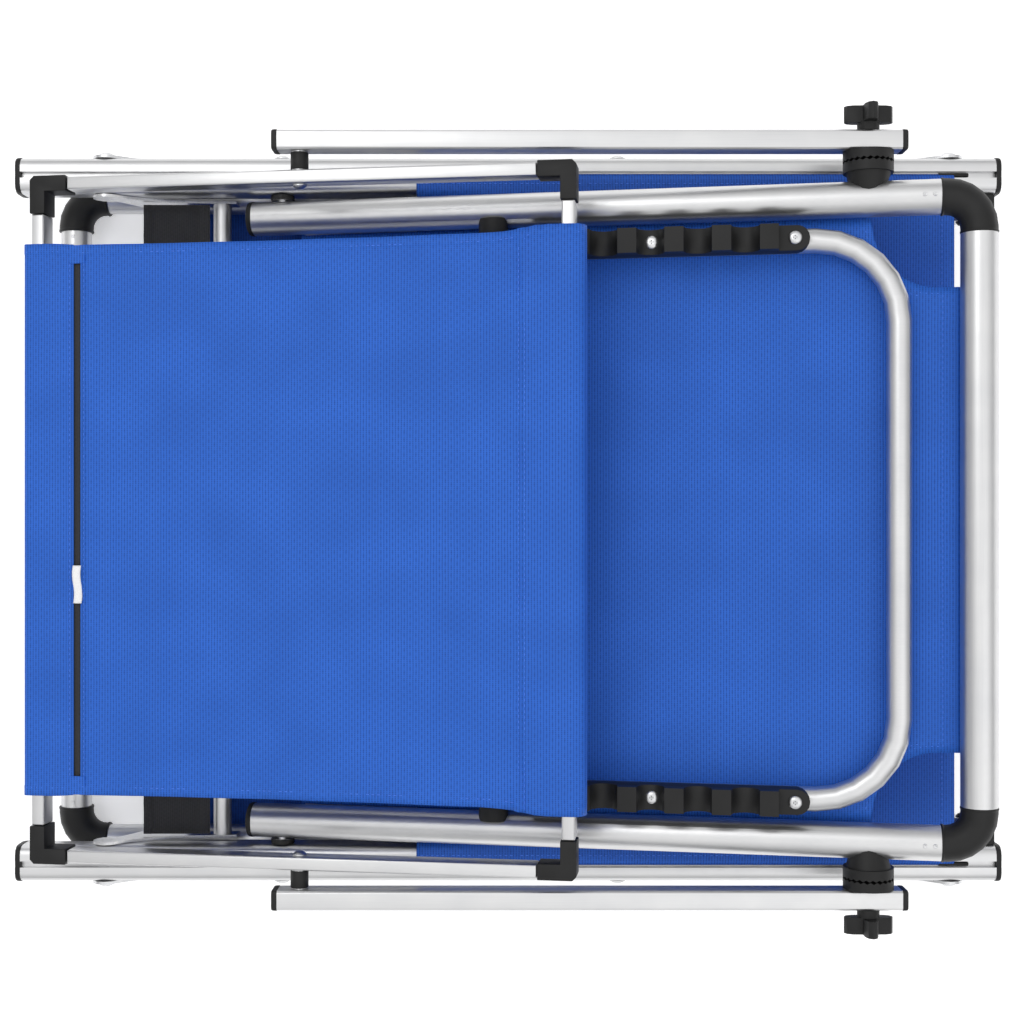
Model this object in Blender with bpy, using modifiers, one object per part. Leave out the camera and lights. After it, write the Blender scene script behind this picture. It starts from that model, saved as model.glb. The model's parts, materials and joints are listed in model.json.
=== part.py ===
"""Folding aluminium sun lounger with a sunshade, in its folded, flat state.

Axes: +X from the canopy end to the head frame's cross tube, +Y across, +Z up.
Heights are given from the seat rails' axis and lifted by RAIL_AXIS_HEIGHT, so that
the folded lounger stands on z = 0. All lengths below are in millimetres.
"""
import bmesh
import bpy
from math import cos, pi, radians, sin, tan
from mathutils import Matrix, Vector

MM = 0.001
COLLECTION_NAME = "folding_sun_lounger"
GAP = 0.3                      # clearance between touching pieces
BEND_STEPS = 6                 # chords in one 90 degree bend
ROUND_SIDES = 16

# Seat frame
RAIL_AXIS_HEIGHT = 68.0
RAIL_LENGTH = 788.0            # with the end caps
RAIL_Y = 275.5
RAIL_WIDTH = 28.6
RAIL_HEIGHT = 28.0
RAIL_CORNER = 7.0
SLOT_WIDTH = 5.0
SLOT_DEPTH = 5.0
SHEET_THICKNESS = 1.6
SEAT_SHEET_X = (-73.0, 356.0)
SEAT_SHEET_HALF = 278.0
WAIST_FLAP_HALF = 222.0
WAIST_FLAP_END = (-176.0, -10.5)
CROSS_TUBE_X = 88.0
REST_BAND_X = (-298.0, -244.0)
REST_BAND_Z = (-18.0, -15.2)
REST_BAND_HALF = 257.0

# Head frame, measured along the frame from its hinge
HEAD_HINGE_X = -182.0
HEAD_ANGLE = 9.7
HEAD_LENGTH = 543.0
HEAD_TUBE_Y = 243.0
HEAD_TUBE_RADIUS = 13.5
HEAD_TAIL = 27.0               # with its cap
HEAD_SHEET_W = -7.6

# Elbows of the head and foot frames
ELBOW_RADIUS = 14.0
ELBOW_BEND = 24.0
ELBOW_SOCKET = 4.0

# Prop bracket, on the head frame
PROP_PIVOT = 174.0
PROP_LENGTH = 310.0
PROP_TUBE_Y = 211.5
PROP_RADIUS = 9.5
PROP_BEND = 62.0
PROP_PIVOT_W = 6.5             # above the head frame's plane
PROP_TAIL = 8.0
RACK_START = 29.0
RACK_END = 244.0
RACK_WIDTH = 19.0
RACK_TOP = 27.0
NOTCH_PITCH = 35.6
NOTCH_RADIUS = 10.6
NOTCH_COUNT = 5
NOTCH_FLOOR = 13.5
LUG_TOP = 17.0

# Canopy arms and their toothed joints
ARM_Y = 286.5
ARM_WIDTH = 15.0
ARM_DEPTH = 20.0
ARM_PIVOT_X = 273.0
ARM_PIVOT = (ARM_PIVOT_X, (ARM_PIVOT_X - HEAD_HINGE_X) * tan(radians(HEAD_ANGLE)))
ARM_X = (-178.0, 301.0)        # with the end caps
DISC_RADIUS = 19.0
DISC_SEAM = 270.7
TOOTH_COUNT = 24
TOOTH_HEIGHT = 1.4
KNOB_OUTER = 313.0
CLAMP_BOLT_RADIUS = 3.0

# Canopy frame
CANOPY_PIVOT = (-158.0, ARM_PIVOT[1])
CANOPY_ANGLE = 8.0
CANOPY_HALF_LENGTH = 205.5
CANOPY_BAR_Y = 259.0
CANOPY_BAR_WIDTH = 10.0
CANOPY_BAR_DEPTH = 18.0
CANOPY_CORNER_LEG = 28.0
CANOPY_SHEET_HALF = 213.0

# Legs
LEG_RADIUS = 11.0
LEG_Y = 275.4
LEG_Z = -28.0
LEG_BEND = 38.0
REAR_PIVOT_X = -324.0
REAR_LEG_END_X = -8.0
FRONT_PIVOT_X = 355.0
FRONT_LEG_END_X = 55.0
PLATE_THICKNESS = 2.2
REAR_BAR_X = -235.0
REAR_BAR_Z = -24.5
REAR_BAR_RADIUS = 7.5
PIVOT_BOLT_RADIUS = 4.0

# Foot frame and its leg
FOOT_HINGE = (375.0, -26.5)
FOOT_TUBE_Y = 269.0
FOOT_TUBE_RADIUS = 12.5
FOOT_Z = -53.0
FOOT_TUBE_END_X = 350.0
FOOT_CROSS_X = -363.0
SHEET_INSET = 6.2
FOOT_LEG_Y = 244.0
FOOT_LEG_PIVOT_X = -165.0
FOOT_LEG_END_X = 135.0
FOOT_LEG_RADIUS = 9.2
FOOT_LEG_TAIL = 5.0
FOOT_LEG_PIN_RADIUS = 3.0
BRACKET_Y = 250.2
LINK_THICKNESS = 4.6

COLOURS = {
    "aluminium": ((0.80, 0.81, 0.83), 0.32, 1.0),
    "steel": ((0.62, 0.63, 0.65), 0.28, 1.0),
    "black_plastic": ((0.025, 0.025, 0.027), 0.5, 0.0),
    "mesh_fabric": ((0.035, 0.13, 0.62), 0.75, 0.0),
    "black_webbing": ((0.02, 0.02, 0.022), 0.85, 0.0),
}


def clear_scene():
    for old in list(bpy.data.objects):
        bpy.data.objects.remove(old, do_unlink=True)


def new_collection(name, hidden=False):
    collection = bpy.data.collections.new(name)
    bpy.context.scene.collection.children.link(collection)
    collection.hide_render = hidden
    return collection


def make_materials():
    made = {}
    for name, (colour, roughness, metallic) in COLOURS.items():
        material = bpy.data.materials.new(name)
        material.use_nodes = True
        shader = material.node_tree.nodes["Principled BSDF"]
        shader.inputs["Base Color"].default_value = (*colour, 1.0)
        shader.inputs["Roughness"].default_value = roughness
        shader.inputs["Metallic"].default_value = metallic
        made[name] = material
    return made


def pivot_empty(name, x, z, angle=0.0, parent=None):
    """An empty on a joint axis; positive angle lifts its local +X."""
    empty = bpy.data.objects.new(name, None)
    empty.location = (x * MM, 0.0, z * MM)
    empty.rotation_euler = (0.0, -radians(angle), 0.0)
    empty.parent = parent
    PARTS.objects.link(empty)
    return empty


def finish_object(name, mesh, frame, material, smooth=True):
    mesh.materials.clear()
    mesh.materials.append(MATERIALS[material])
    if smooth:
        mesh.shade_smooth()
        mesh.set_sharp_from_angle(angle=radians(35))
    made = bpy.data.objects.new(name, mesh)
    made.parent = frame
    PARTS.objects.link(made)
    return made


def mesh_of_curve(name, curve, transform=Matrix.Identity(4)):
    """Turn a curve into a welded mesh, moved by transform."""
    carrier = bpy.data.objects.new(name + "_curve", curve)
    bpy.context.scene.collection.objects.link(carrier)
    bpy.context.view_layer.update()
    depsgraph = bpy.context.evaluated_depsgraph_get()
    mesh = bpy.data.meshes.new_from_object(carrier.evaluated_get(depsgraph))
    mesh.name = name
    bpy.data.objects.remove(carrier, do_unlink=True)
    shape = bmesh.new()
    shape.from_mesh(mesh)
    bmesh.ops.remove_doubles(shape, verts=shape.verts, dist=0.00001)
    bmesh.ops.transform(shape, matrix=transform, verts=shape.verts)
    bmesh.ops.recalc_face_normals(shape, faces=shape.faces)
    shape.to_mesh(mesh)
    shape.free()
    return mesh


def rod(name, frame, start, end, radius, material, sides=ROUND_SIDES, end_radius=None):
    """A straight round piece between two points."""
    first = Vector(start) * MM
    last = Vector(end) * MM
    axis = last - first
    place = Matrix.Translation((first + last) / 2) @ axis.to_track_quat("Z", "Y").to_matrix().to_4x4()
    shape = bmesh.new()
    bmesh.ops.create_cone(
        shape, cap_ends=True, segments=sides, radius1=radius * MM,
        radius2=(radius if end_radius is None else end_radius) * MM,
        depth=axis.length, matrix=place)
    mesh = bpy.data.meshes.new(name)
    shape.to_mesh(mesh)
    shape.free()
    return finish_object(name, mesh, frame, material)


def block(name, frame, low, high, material, bevel=0.0):
    """A rectangular piece between two corners."""
    lowest = Vector(low) * MM
    highest = Vector(high) * MM
    place = Matrix.Translation((lowest + highest) / 2) @ Matrix.Diagonal((*(highest - lowest), 1.0))
    shape = bmesh.new()
    bmesh.ops.create_cube(shape, size=1.0, matrix=place)
    if bevel:
        bmesh.ops.bevel(shape, geom=shape.edges, offset=bevel * MM, segments=1, affect="EDGES")
    mesh = bpy.data.meshes.new(name)
    shape.to_mesh(mesh)
    shape.free()
    return finish_object(name, mesh, frame, material, smooth=False)


def prism(name, frame, outline, plane, low, high, material, smooth=True):
    """A flat outline given depth; plane is the outline's two axes, low to high the third."""
    curve = bpy.data.curves.new(name, "CURVE")
    curve.dimensions = "2D"
    curve.fill_mode = "BOTH"
    curve.extrude = (high - low) / 2 * MM
    spline = curve.splines.new("POLY")
    spline.points.add(len(outline) - 1)
    for point, (a, b) in zip(spline.points, outline):
        point.co = (a * MM, b * MM, 0.0, 1.0)
    spline.use_cyclic_u = True
    middle = (low + high) / 2 * MM
    turns = {
        "XY": Matrix(((1, 0, 0, 0), (0, 1, 0, 0), (0, 0, 1, middle), (0, 0, 0, 1))),
        "XZ": Matrix(((1, 0, 0, 0), (0, 0, 1, middle), (0, 1, 0, 0), (0, 0, 0, 1))),
        "YZ": Matrix(((0, 0, 1, middle), (1, 0, 0, 0), (0, 1, 0, 0), (0, 0, 0, 1))),
    }
    return finish_object(name, mesh_of_curve(name, curve, turns[plane]), frame, material, smooth)


def bent_tube(name, frame, points, radius, material, sides_step=6):
    """A round tube along points; sides_step is the curve's bevel resolution."""
    curve = bpy.data.curves.new(name, "CURVE")
    curve.dimensions = "3D"
    curve.bevel_depth = radius * MM
    curve.bevel_resolution = sides_step
    curve.use_fill_caps = True
    spline = curve.splines.new("POLY")
    spline.points.add(len(points) - 1)
    for point, place in zip(spline.points, points):
        point.co = (*(Vector(place) * MM), 1.0)
    return finish_object(name, mesh_of_curve(name, curve), frame, material)


def fuse(target, *pieces):
    """Join pieces that overlap target into one body with it."""
    for piece in pieces:
        carve(target, piece, "UNION")
    return target


def carve(target, cutter, operation="DIFFERENCE"):
    """Cut target by cutter; both stand in the same frame."""
    PARTS.objects.unlink(cutter)
    CUTTERS.objects.link(cutter)
    cutter.name = target.name + "_cutter"
    cutter.hide_render = True
    cutter.display_type = "WIRE"
    step = target.modifiers.new("cut", "BOOLEAN")
    step.operation = operation
    step.solver = "EXACT"
    step.object = cutter
    return target


def drill(target, frame, x, z, radius, y_low, y_high):
    """A round hole along Y through target."""
    cutter = rod("cutter", frame, (x, y_low, z), (x, y_high, z), radius, "steel", sides=12)
    return carve(target, cutter)


def arc(centre, radius, start, end, steps):
    """Points on a circle, angles in degrees."""
    turn = (end - start) / steps
    return [(centre[0] + radius * cos(radians(start + turn * i)),
             centre[1] + radius * sin(radians(start + turn * i))) for i in range(steps + 1)]


def rounded_rectangle(width, height, corner, steps=3, centre=(0.0, 0.0)):
    points = []
    for quarter, (sx, sy) in enumerate(((1, 1), (-1, 1), (-1, -1), (1, -1))):
        corner_at = (centre[0] + sx * (width / 2 - corner), centre[1] + sy * (height / 2 - corner))
        points += arc(corner_at, corner, 90 * quarter, 90 * quarter + 90, steps)
    return points


def u_path(tip_x, bar_x, half, z, bend):
    """A U in the XY plane: tips at tip_x, cross run at bar_x."""
    way = 1 if bar_x > tip_x else -1
    corner = (bar_x - way * bend, half - bend)
    path = [(tip_x, half)]
    for step in range(BEND_STEPS + 1):
        turn = radians(90 * step / BEND_STEPS)
        path.append((corner[0] + way * bend * sin(turn), corner[1] + bend * cos(turn)))
    return [(x, y, z) for x, y in path] + [(x, -y, z) for x, y in reversed(path)]


def both_sides(make):
    """Call make for the left (+Y) and right (-Y) side."""
    return [make("left", 1), make("right", -1)]


def span(side, near, far):
    """Low and high of a stretch across Y on one side."""
    return (near, far) if side > 0 else (-far, -near)


def head_line(x):
    """Height of the head tubes' axis above x, in the folded state."""
    return (x - HEAD_HINGE_X) * tan(radians(HEAD_ANGLE))


def domed_bolt(name, frame, x, z, y_inner, y_outer, side, radius=PIVOT_BOLT_RADIUS, head=7.0):
    """A pin with a low domed head at its outer end."""
    profile = [(0.0, y_outer + 3.2), (head * 0.55, y_outer + 2.7), (head, y_outer + 0.8), (head, y_outer),
               (radius, y_outer), (radius, y_inner), (0.0, y_inner)]
    shape = bmesh.new()
    ring = [shape.verts.new((r * MM, 0.0, y * MM)) for r, y in profile]
    edges = [shape.edges.new(pair) for pair in zip(ring, ring[1:])]
    bmesh.ops.spin(shape, geom=ring + edges, cent=(0, 0, 0), axis=(0, 0, 1), angle=2 * pi, steps=12)
    bmesh.ops.remove_doubles(shape, verts=shape.verts, dist=0.00001)
    turn = Matrix.Rotation(-side * pi / 2, 4, "X")
    bmesh.ops.transform(shape, matrix=Matrix.Translation((x * MM, 0.0, z * MM)) @ turn, verts=shape.verts)
    bmesh.ops.recalc_face_normals(shape, faces=shape.faces)
    mesh = bpy.data.meshes.new(name)
    shape.to_mesh(mesh)
    shape.free()
    return finish_object(name, mesh, frame, "steel")


# ---------------------------------------------------------------- seat frame

def rail_outline(side):
    """The rail's section in YZ, with the sheet slot in its top face."""
    outline = rounded_rectangle(RAIL_WIDTH, RAIL_HEIGHT, RAIL_CORNER, centre=(side * RAIL_Y, 0.0))
    top = RAIL_HEIGHT / 2
    half = SLOT_WIDTH / 2
    middle = side * RAIL_Y
    slot = [(middle + half, top), (middle + half, top - SLOT_DEPTH),
            (middle - half, top - SLOT_DEPTH), (middle - half, top)]
    first_corner = 4
    return outline[:first_corner] + slot + outline[first_corner:]


def build_rails(frame):
    half = RAIL_LENGTH / 2

    def rail(word, side):
        made = prism("rail_" + word, frame, rail_outline(side), "YZ", -half, half, "aluminium")
        for x in (HEAD_HINGE_X, REAR_PIVOT_X, FRONT_PIVOT_X, CROSS_TUBE_X):
            drill(made, frame, x, 0.0, PIVOT_BOLT_RADIUS + GAP, *span(side, 255.0, 296.0))
        return made

    both_sides(rail)


def seat_sheet_height(x, y):
    """Underside of the seat sheet: level at the rails, pressed down by the head tubes."""
    level = RAIL_HEIGHT / 2 + GAP
    pressed = head_line(x) - HEAD_TUBE_RADIUS / cos(radians(HEAD_ANGLE)) - SHEET_THICKNESS - 1.2
    share = min(1.0, max(0.0, (RAIL_Y - RAIL_WIDTH / 2 + 2.0 - abs(y)) / 6.0))
    return level + share * (min(level, pressed) - level)


def grid_solid(name, frame, columns, rows, height, material):
    """A thin solid over a grid of x columns and y rows."""
    shape = bmesh.new()
    top = [[shape.verts.new((x * MM, y * MM, height(x, y) * MM)) for y in rows] for x in columns]
    for i in range(len(columns) - 1):
        for j in range(len(rows) - 1):
            shape.faces.new((top[i][j], top[i + 1][j], top[i + 1][j + 1], top[i][j + 1]))
    bmesh.ops.recalc_face_normals(shape, faces=shape.faces)
    mesh = bpy.data.meshes.new(name)
    shape.to_mesh(mesh)
    shape.free()
    made = finish_object(name, mesh, frame, material)
    thick = made.modifiers.new("thickness", "SOLIDIFY")
    thick.thickness = SHEET_THICKNESS * MM
    thick.offset = 1.0
    thick.use_even_offset = False
    return made


def build_seat_sheet(frame):
    edge = RAIL_Y - RAIL_WIDTH / 2 + 2.0
    rows = [-SEAT_SHEET_HALF, -edge, -edge + 6.0, -WAIST_FLAP_HALF, -110.0, 0.0]
    rows += [-y for y in reversed(rows[:-1])]
    first, last = SEAT_SHEET_X
    columns = [first, -48.0, -22.0, 4.0, 30.0, 60.0, 150.0, 250.0, last]
    grid_solid("seat_sheet", frame, columns, rows, seat_sheet_height, "mesh_fabric")
    flap_start = seat_sheet_height(first, 0.0)
    end_x, end_z = WAIST_FLAP_END

    def flap_height(x, y):
        share = (first - GAP - x) / (first - GAP - end_x)
        return flap_start + share * (end_z - flap_start)

    flap_columns = [end_x, -150.0, -125.0, -100.0, first - GAP]
    flap_rows = [-WAIST_FLAP_HALF, 0.0, WAIST_FLAP_HALF]
    grid_solid("waist_flap", frame, flap_columns, flap_rows, flap_height, "mesh_fabric")


def build_seat_hardware(frame):
    inner = RAIL_Y - RAIL_WIDTH / 2
    outer = RAIL_Y + RAIL_WIDTH / 2
    stretcher = rod("seat_cross_tube", frame, (CROSS_TUBE_X, -inner + GAP, 0), (CROSS_TUBE_X, inner - GAP, 0),
                    8.0, "aluminium")
    for side in (1, -1):
        fuse(stretcher, domed_bolt("bolt", frame, CROSS_TUBE_X, 0, inner - 4.0, outer + GAP, side))
    low, high = REST_BAND_Z
    block("rest_band", frame, (REST_BAND_X[0], -REST_BAND_HALF, low),
          (REST_BAND_X[1], REST_BAND_HALF, high), "black_webbing", bevel=0.5)
    plate_outer = outer + GAP + PLATE_THICKNESS + GAP
    plate_inner = inner - GAP - PLATE_THICKNESS
    hinge_x, hinge_z = FOOT_HINGE

    def pivots(word, side):
        pin = domed_bolt("head_hinge_pin_" + word, frame, HEAD_HINGE_X, 0, HEAD_TUBE_Y - 6.0,
                         outer + GAP, side)
        y_low, y_high = span(side, HEAD_TUBE_Y + HEAD_TUBE_RADIUS + GAP, inner - GAP)
        fuse(pin, rod("bush", frame, (HEAD_HINGE_X, y_low, 0), (HEAD_HINGE_X, y_high, 0), 9.0, "steel"))
        domed_bolt("rear_pivot_bolt_" + word, frame, REAR_PIVOT_X, 0, plate_inner, plate_outer, side)
        domed_bolt("front_pivot_bolt_" + word, frame, FRONT_PIVOT_X, 0, inner + 1.0, plate_outer, side)
        outline = [(366.0, 8.0), (390.0, 8.0), (390.0, -26.0), (384.0, -36.0), (368.0, -36.0), (366.0, -30.0)]
        bracket = prism("foot_hinge_bracket_" + word, frame, outline, "XZ",
                        *span(side, BRACKET_Y, inner - GAP), "black_plastic", False)
        link_inner = side * (BRACKET_Y - GAP - LINK_THICKNESS)
        pin_head = link_inner - side * GAP
        fuse(bracket,
             rod("pin", frame, (hinge_x, side * (BRACKET_Y + 4), hinge_z), (hinge_x, pin_head, hinge_z),
                 PIVOT_BOLT_RADIUS, "steel", sides=12),
             rod("head", frame, (hinge_x, pin_head, hinge_z), (hinge_x, pin_head - side * 2.5, hinge_z),
                 6.5, "steel", sides=12, end_radius=4.5))

    both_sides(pivots)


# ---------------------------------------------------------------- head frame

def elbow(name, frame, corner_x, corner_y, z, side, way):
    """A quarter bend; the tubes meet at the corner, way is +1 at the frame's +X end."""
    centre = (corner_x - way * ELBOW_BEND, corner_y - ELBOW_BEND)
    path = [(centre[0] - way * ELBOW_SOCKET, corner_y)]
    for step in range(BEND_STEPS + 1):
        turn = radians(90 * step / BEND_STEPS)
        path.append((centre[0] + way * ELBOW_BEND * sin(turn), centre[1] + ELBOW_BEND * cos(turn)))
    path.append((corner_x, centre[1] - ELBOW_SOCKET))
    return bent_tube(name, frame, [(x, side * y, z) for x, y in path], ELBOW_RADIUS, "black_plastic")


def sheet_outline(start, end, half, tab_half, cut_length, steps=5):
    """A sheet with concave cut-outs in its two corners at end."""
    way = 1 if end > start else -1
    side_leaves = end - way * cut_length
    points = [(start, -half), (side_leaves, -half)]
    for step in range(1, steps):
        turn = radians(90 * step / steps)
        points.append((side_leaves + way * cut_length * 0.72 * (1 - cos(turn)),
                       -half + (half - tab_half) * sin(turn)))
    points.append((end - way * cut_length * 0.24, -tab_half))
    points.append((end, -tab_half))
    return points + [(x, -y) for x, y in reversed(points)]


def build_head(frame):
    elbow_mouth = HEAD_LENGTH - ELBOW_BEND - ELBOW_SOCKET
    cross_half = HEAD_TUBE_Y - ELBOW_BEND - ELBOW_SOCKET - GAP

    def side_pieces(word, side):
        made = rod("head_tube_" + word, frame, (-HEAD_TAIL, side * HEAD_TUBE_Y, 0),
                   (elbow_mouth - GAP, side * HEAD_TUBE_Y, 0), HEAD_TUBE_RADIUS, "aluminium", sides=20)
        drill(made, frame, 0, 0, PIVOT_BOLT_RADIUS + GAP, *span(side, HEAD_TUBE_Y - 7.0, 262.0))
        oval = [(PROP_PIVOT + 11.0 * cos(radians(30 * i)), PROP_PIVOT_W + 8.0 * sin(radians(30 * i)))
                for i in range(12)]
        bush_ends = span(side, PROP_TUBE_Y + PROP_RADIUS + GAP, HEAD_TUBE_Y - HEAD_TUBE_RADIUS + 6.0)
        bush = prism("bush", frame, oval, "XZ", *bush_ends, "steel")
        pin = rod("pin", frame, (PROP_PIVOT, side * (HEAD_TUBE_Y - 5.0), PROP_PIVOT_W),
                  (PROP_PIVOT, side * 204.0, PROP_PIVOT_W),
                  PIVOT_BOLT_RADIUS, "steel", sides=12)
        fuse(made, bush, pin)
        elbow("head_elbow_" + word, frame, HEAD_LENGTH, HEAD_TUBE_Y, 0, side, 1)

    both_sides(side_pieces)
    rod("head_cross_tube", frame, (HEAD_LENGTH, -cross_half, 0), (HEAD_LENGTH, cross_half, 0), 14.0,
        "aluminium", sides=20)
    inner = HEAD_TUBE_Y - HEAD_TUBE_RADIUS + 0.9
    outline = sheet_outline(13.0, HEAD_LENGTH - 13.0, inner, 176.0, 66.0)
    prism("head_sheet", frame, outline, "XY", HEAD_SHEET_W - SHEET_THICKNESS / 2,
          HEAD_SHEET_W + SHEET_THICKNESS / 2, "mesh_fabric", smooth=False)


# ---------------------------------------------------------------- prop bracket

def rack_outline():
    """The rack's side view: five round notches, then a low end lug."""
    tooth_gap = NOTCH_PITCH - 2 * NOTCH_RADIUS
    points = [(RACK_END, 0.0), (RACK_END, LUG_TOP)]
    last_tooth = RACK_START + tooth_gap + NOTCH_COUNT * NOTCH_PITCH - tooth_gap
    points.append((last_tooth + tooth_gap - 0.5, LUG_TOP))
    points.append((last_tooth + tooth_gap - 0.5, RACK_TOP))
    for index in reversed(range(NOTCH_COUNT)):
        centre = RACK_START + tooth_gap + index * NOTCH_PITCH + NOTCH_RADIUS
        level = NOTCH_FLOOR + NOTCH_RADIUS
        points.append((centre + NOTCH_RADIUS, RACK_TOP))
        points += arc((centre, level), NOTCH_RADIUS, 0, -180, 6)
        points.append((centre - NOTCH_RADIUS, RACK_TOP))
    points += [(RACK_START, RACK_TOP), (RACK_START, 0.0)]
    return points


def build_prop(frame):
    tube = bent_tube("prop_tube", frame, u_path(-PROP_TAIL, PROP_LENGTH, PROP_TUBE_Y, 0.0, PROP_BEND),
                     PROP_RADIUS, "aluminium")
    for side in (1, -1):
        drill(tube, frame, 0, 0, PIVOT_BOLT_RADIUS + GAP, *span(side, 196.0, 228.0))
    half = RACK_WIDTH / 2
    for word, side in (("left", 1), ("right", -1)):
        middle = side * PROP_TUBE_Y
        rack = prism("rack_" + word, frame, rack_outline(), "XZ", middle - half, middle + half,
                     "black_plastic")
        plan = [(RACK_START - 2, middle - half - 1), (RACK_END - half, middle - half)]
        plan += arc((RACK_END - half, middle), half, -90, 90, 8)[1:-1]
        plan += [(RACK_END - half, middle + half), (RACK_START - 2, middle + half + 1)]
        carve(rack, prism("cutter", frame, plan, "XY", 0, RACK_TOP + 5, "steel", False), "INTERSECT")
        carve(rack, rod("cutter", frame, (RACK_START - 5, middle, 0), (RACK_END + 5, middle, 0),
                        PROP_RADIUS + GAP, "steel"))


# ---------------------------------------------------------------- canopy arms

def toothed_disc(name, frame, back, seam, radius):
    """A disc whose seam face carries radial teeth."""
    sides = TOOTH_COUNT * 2
    shape = bmesh.new()
    depth = seam - back
    place = Matrix.Translation((0, (back + seam) / 2 * MM, 0)) @ Matrix.Rotation(-pi / 2, 4, "X")
    bmesh.ops.create_cone(shape, cap_ends=True, cap_tris=True, segments=sides, radius1=radius * MM,
                          radius2=radius * MM, depth=abs(depth) * MM, matrix=place)
    inward = -TOOTH_HEIGHT if depth > 0 else TOOTH_HEIGHT
    face = [v for v in shape.verts if abs(v.co.y - seam * MM) < 1e-6 and v.co.xz.length > radius * MM * 0.9]
    face.sort(key=lambda v: Vector((v.co.x, v.co.z)).angle_signed(Vector((1, 0)), 0))
    for vert in face[::2]:
        vert.co.y += inward * MM
    bmesh.ops.recalc_face_normals(shape, faces=shape.faces)
    mesh = bpy.data.meshes.new(name)
    shape.to_mesh(mesh)
    shape.free()
    return finish_object(name, mesh, frame, "black_plastic")


def build_arm(frame, word, side):
    pivot_x, pivot_z = ARM_PIVOT
    inner = ARM_Y - ARM_WIDTH / 2
    outer = ARM_Y + ARM_WIDTH / 2
    y_low, y_high = span(side, inner, outer)
    start, end = (x - pivot_x for x in ARM_X)
    section = rounded_rectangle(ARM_WIDTH, ARM_DEPTH, 1.5, 1, (side * ARM_Y, 0.0))
    tube = prism(f"arm_{word}_tube", frame, section, "YZ", start, end, "aluminium", False)
    drill(tube, frame, 0, 0, CLAMP_BOLT_RADIUS + GAP, y_low - 5, y_high + 5)
    canopy_x = CANOPY_PIVOT[0] - pivot_x
    drill(tube, frame, canopy_x, 0, CLAMP_BOLT_RADIUS + GAP, *span(side, 270.0, outer - 2.0))
    back, seam = side * (inner - GAP), side * (DISC_SEAM + GAP / 2)
    disc = toothed_disc(f"arm_{word}_ratchet", frame, back, seam, DISC_RADIUS)
    drill(disc, frame, 0, 0, CLAMP_BOLT_RADIUS + GAP, *span(side, 265.0, 285.0))
    bush_low, bush_high = span(side, CANOPY_BAR_Y + CANOPY_BAR_WIDTH / 2 + GAP, inner - GAP)
    bar_inner = CANOPY_BAR_Y - CANOPY_BAR_WIDTH / 2
    pin = domed_bolt(f"arm_{word}_canopy_pin", frame, canopy_x, 0, -(outer - 2.5), -(bar_inner - GAP), -side,
                     radius=CLAMP_BOLT_RADIUS, head=5.5)
    fuse(pin, rod("bush", frame, (canopy_x, bush_low, 0), (canopy_x, bush_high, 0), 6.5, "black_plastic"))


def build_ratchet_bases(head_frame):
    """Toothed discs with saddles on the head tubes, and the clamp bolts through them."""
    along = (ARM_PIVOT[0] - HEAD_HINGE_X) / cos(radians(HEAD_ANGLE))
    for word, side in (("left", 1), ("right", -1)):
        seam = side * (DISC_SEAM - GAP / 2)
        disc = toothed_disc("ratchet_base_" + word, head_frame, side * 262.5, seam, DISC_RADIUS)
        for vert in disc.data.vertices:
            vert.co.x += along * MM
        neck = rod("neck", head_frame, (along, side * 262.5, 0), (along, side * (HEAD_TUBE_Y + 4), 0), 17.0,
                   "black_plastic", end_radius=12.0)
        fuse(disc, neck)
        carve(disc, rod("cutter", head_frame, (along - 40, side * HEAD_TUBE_Y, 0),
                        (along + 40, side * HEAD_TUBE_Y, 0), HEAD_TUBE_RADIUS + GAP, "steel", sides=20))
        fuse(disc, rod("bolt", head_frame, (along, side * (DISC_SEAM - 5.0), 0), (along, side * 306.0, 0),
                       CLAMP_BOLT_RADIUS, "steel", sides=12))


def build_knob(frame, word, side):
    """A four-winged knob on a round stem."""
    outer = ARM_Y + ARM_WIDTH / 2
    star = []
    for step in range(32):
        turn = 2 * pi * step / 32
        reach = 13.0 + 5.5 * cos(4 * turn)
        star.append((reach * cos(turn), reach * sin(turn)))
    knob = prism("knob_" + word, frame, star, "XZ", *span(side, outer + 6.5, KNOB_OUTER), "black_plastic")
    stem = rod("stem", frame, (0, side * (outer + GAP), 0), (0, side * (outer + 8.0), 0), 8.5,
               "black_plastic")
    carve(knob, stem, "UNION")
    drill(knob, frame, 0, 0, CLAMP_BOLT_RADIUS + GAP, *span(side, outer - 4.0, 306.5))


# ---------------------------------------------------------------- canopy

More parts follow.
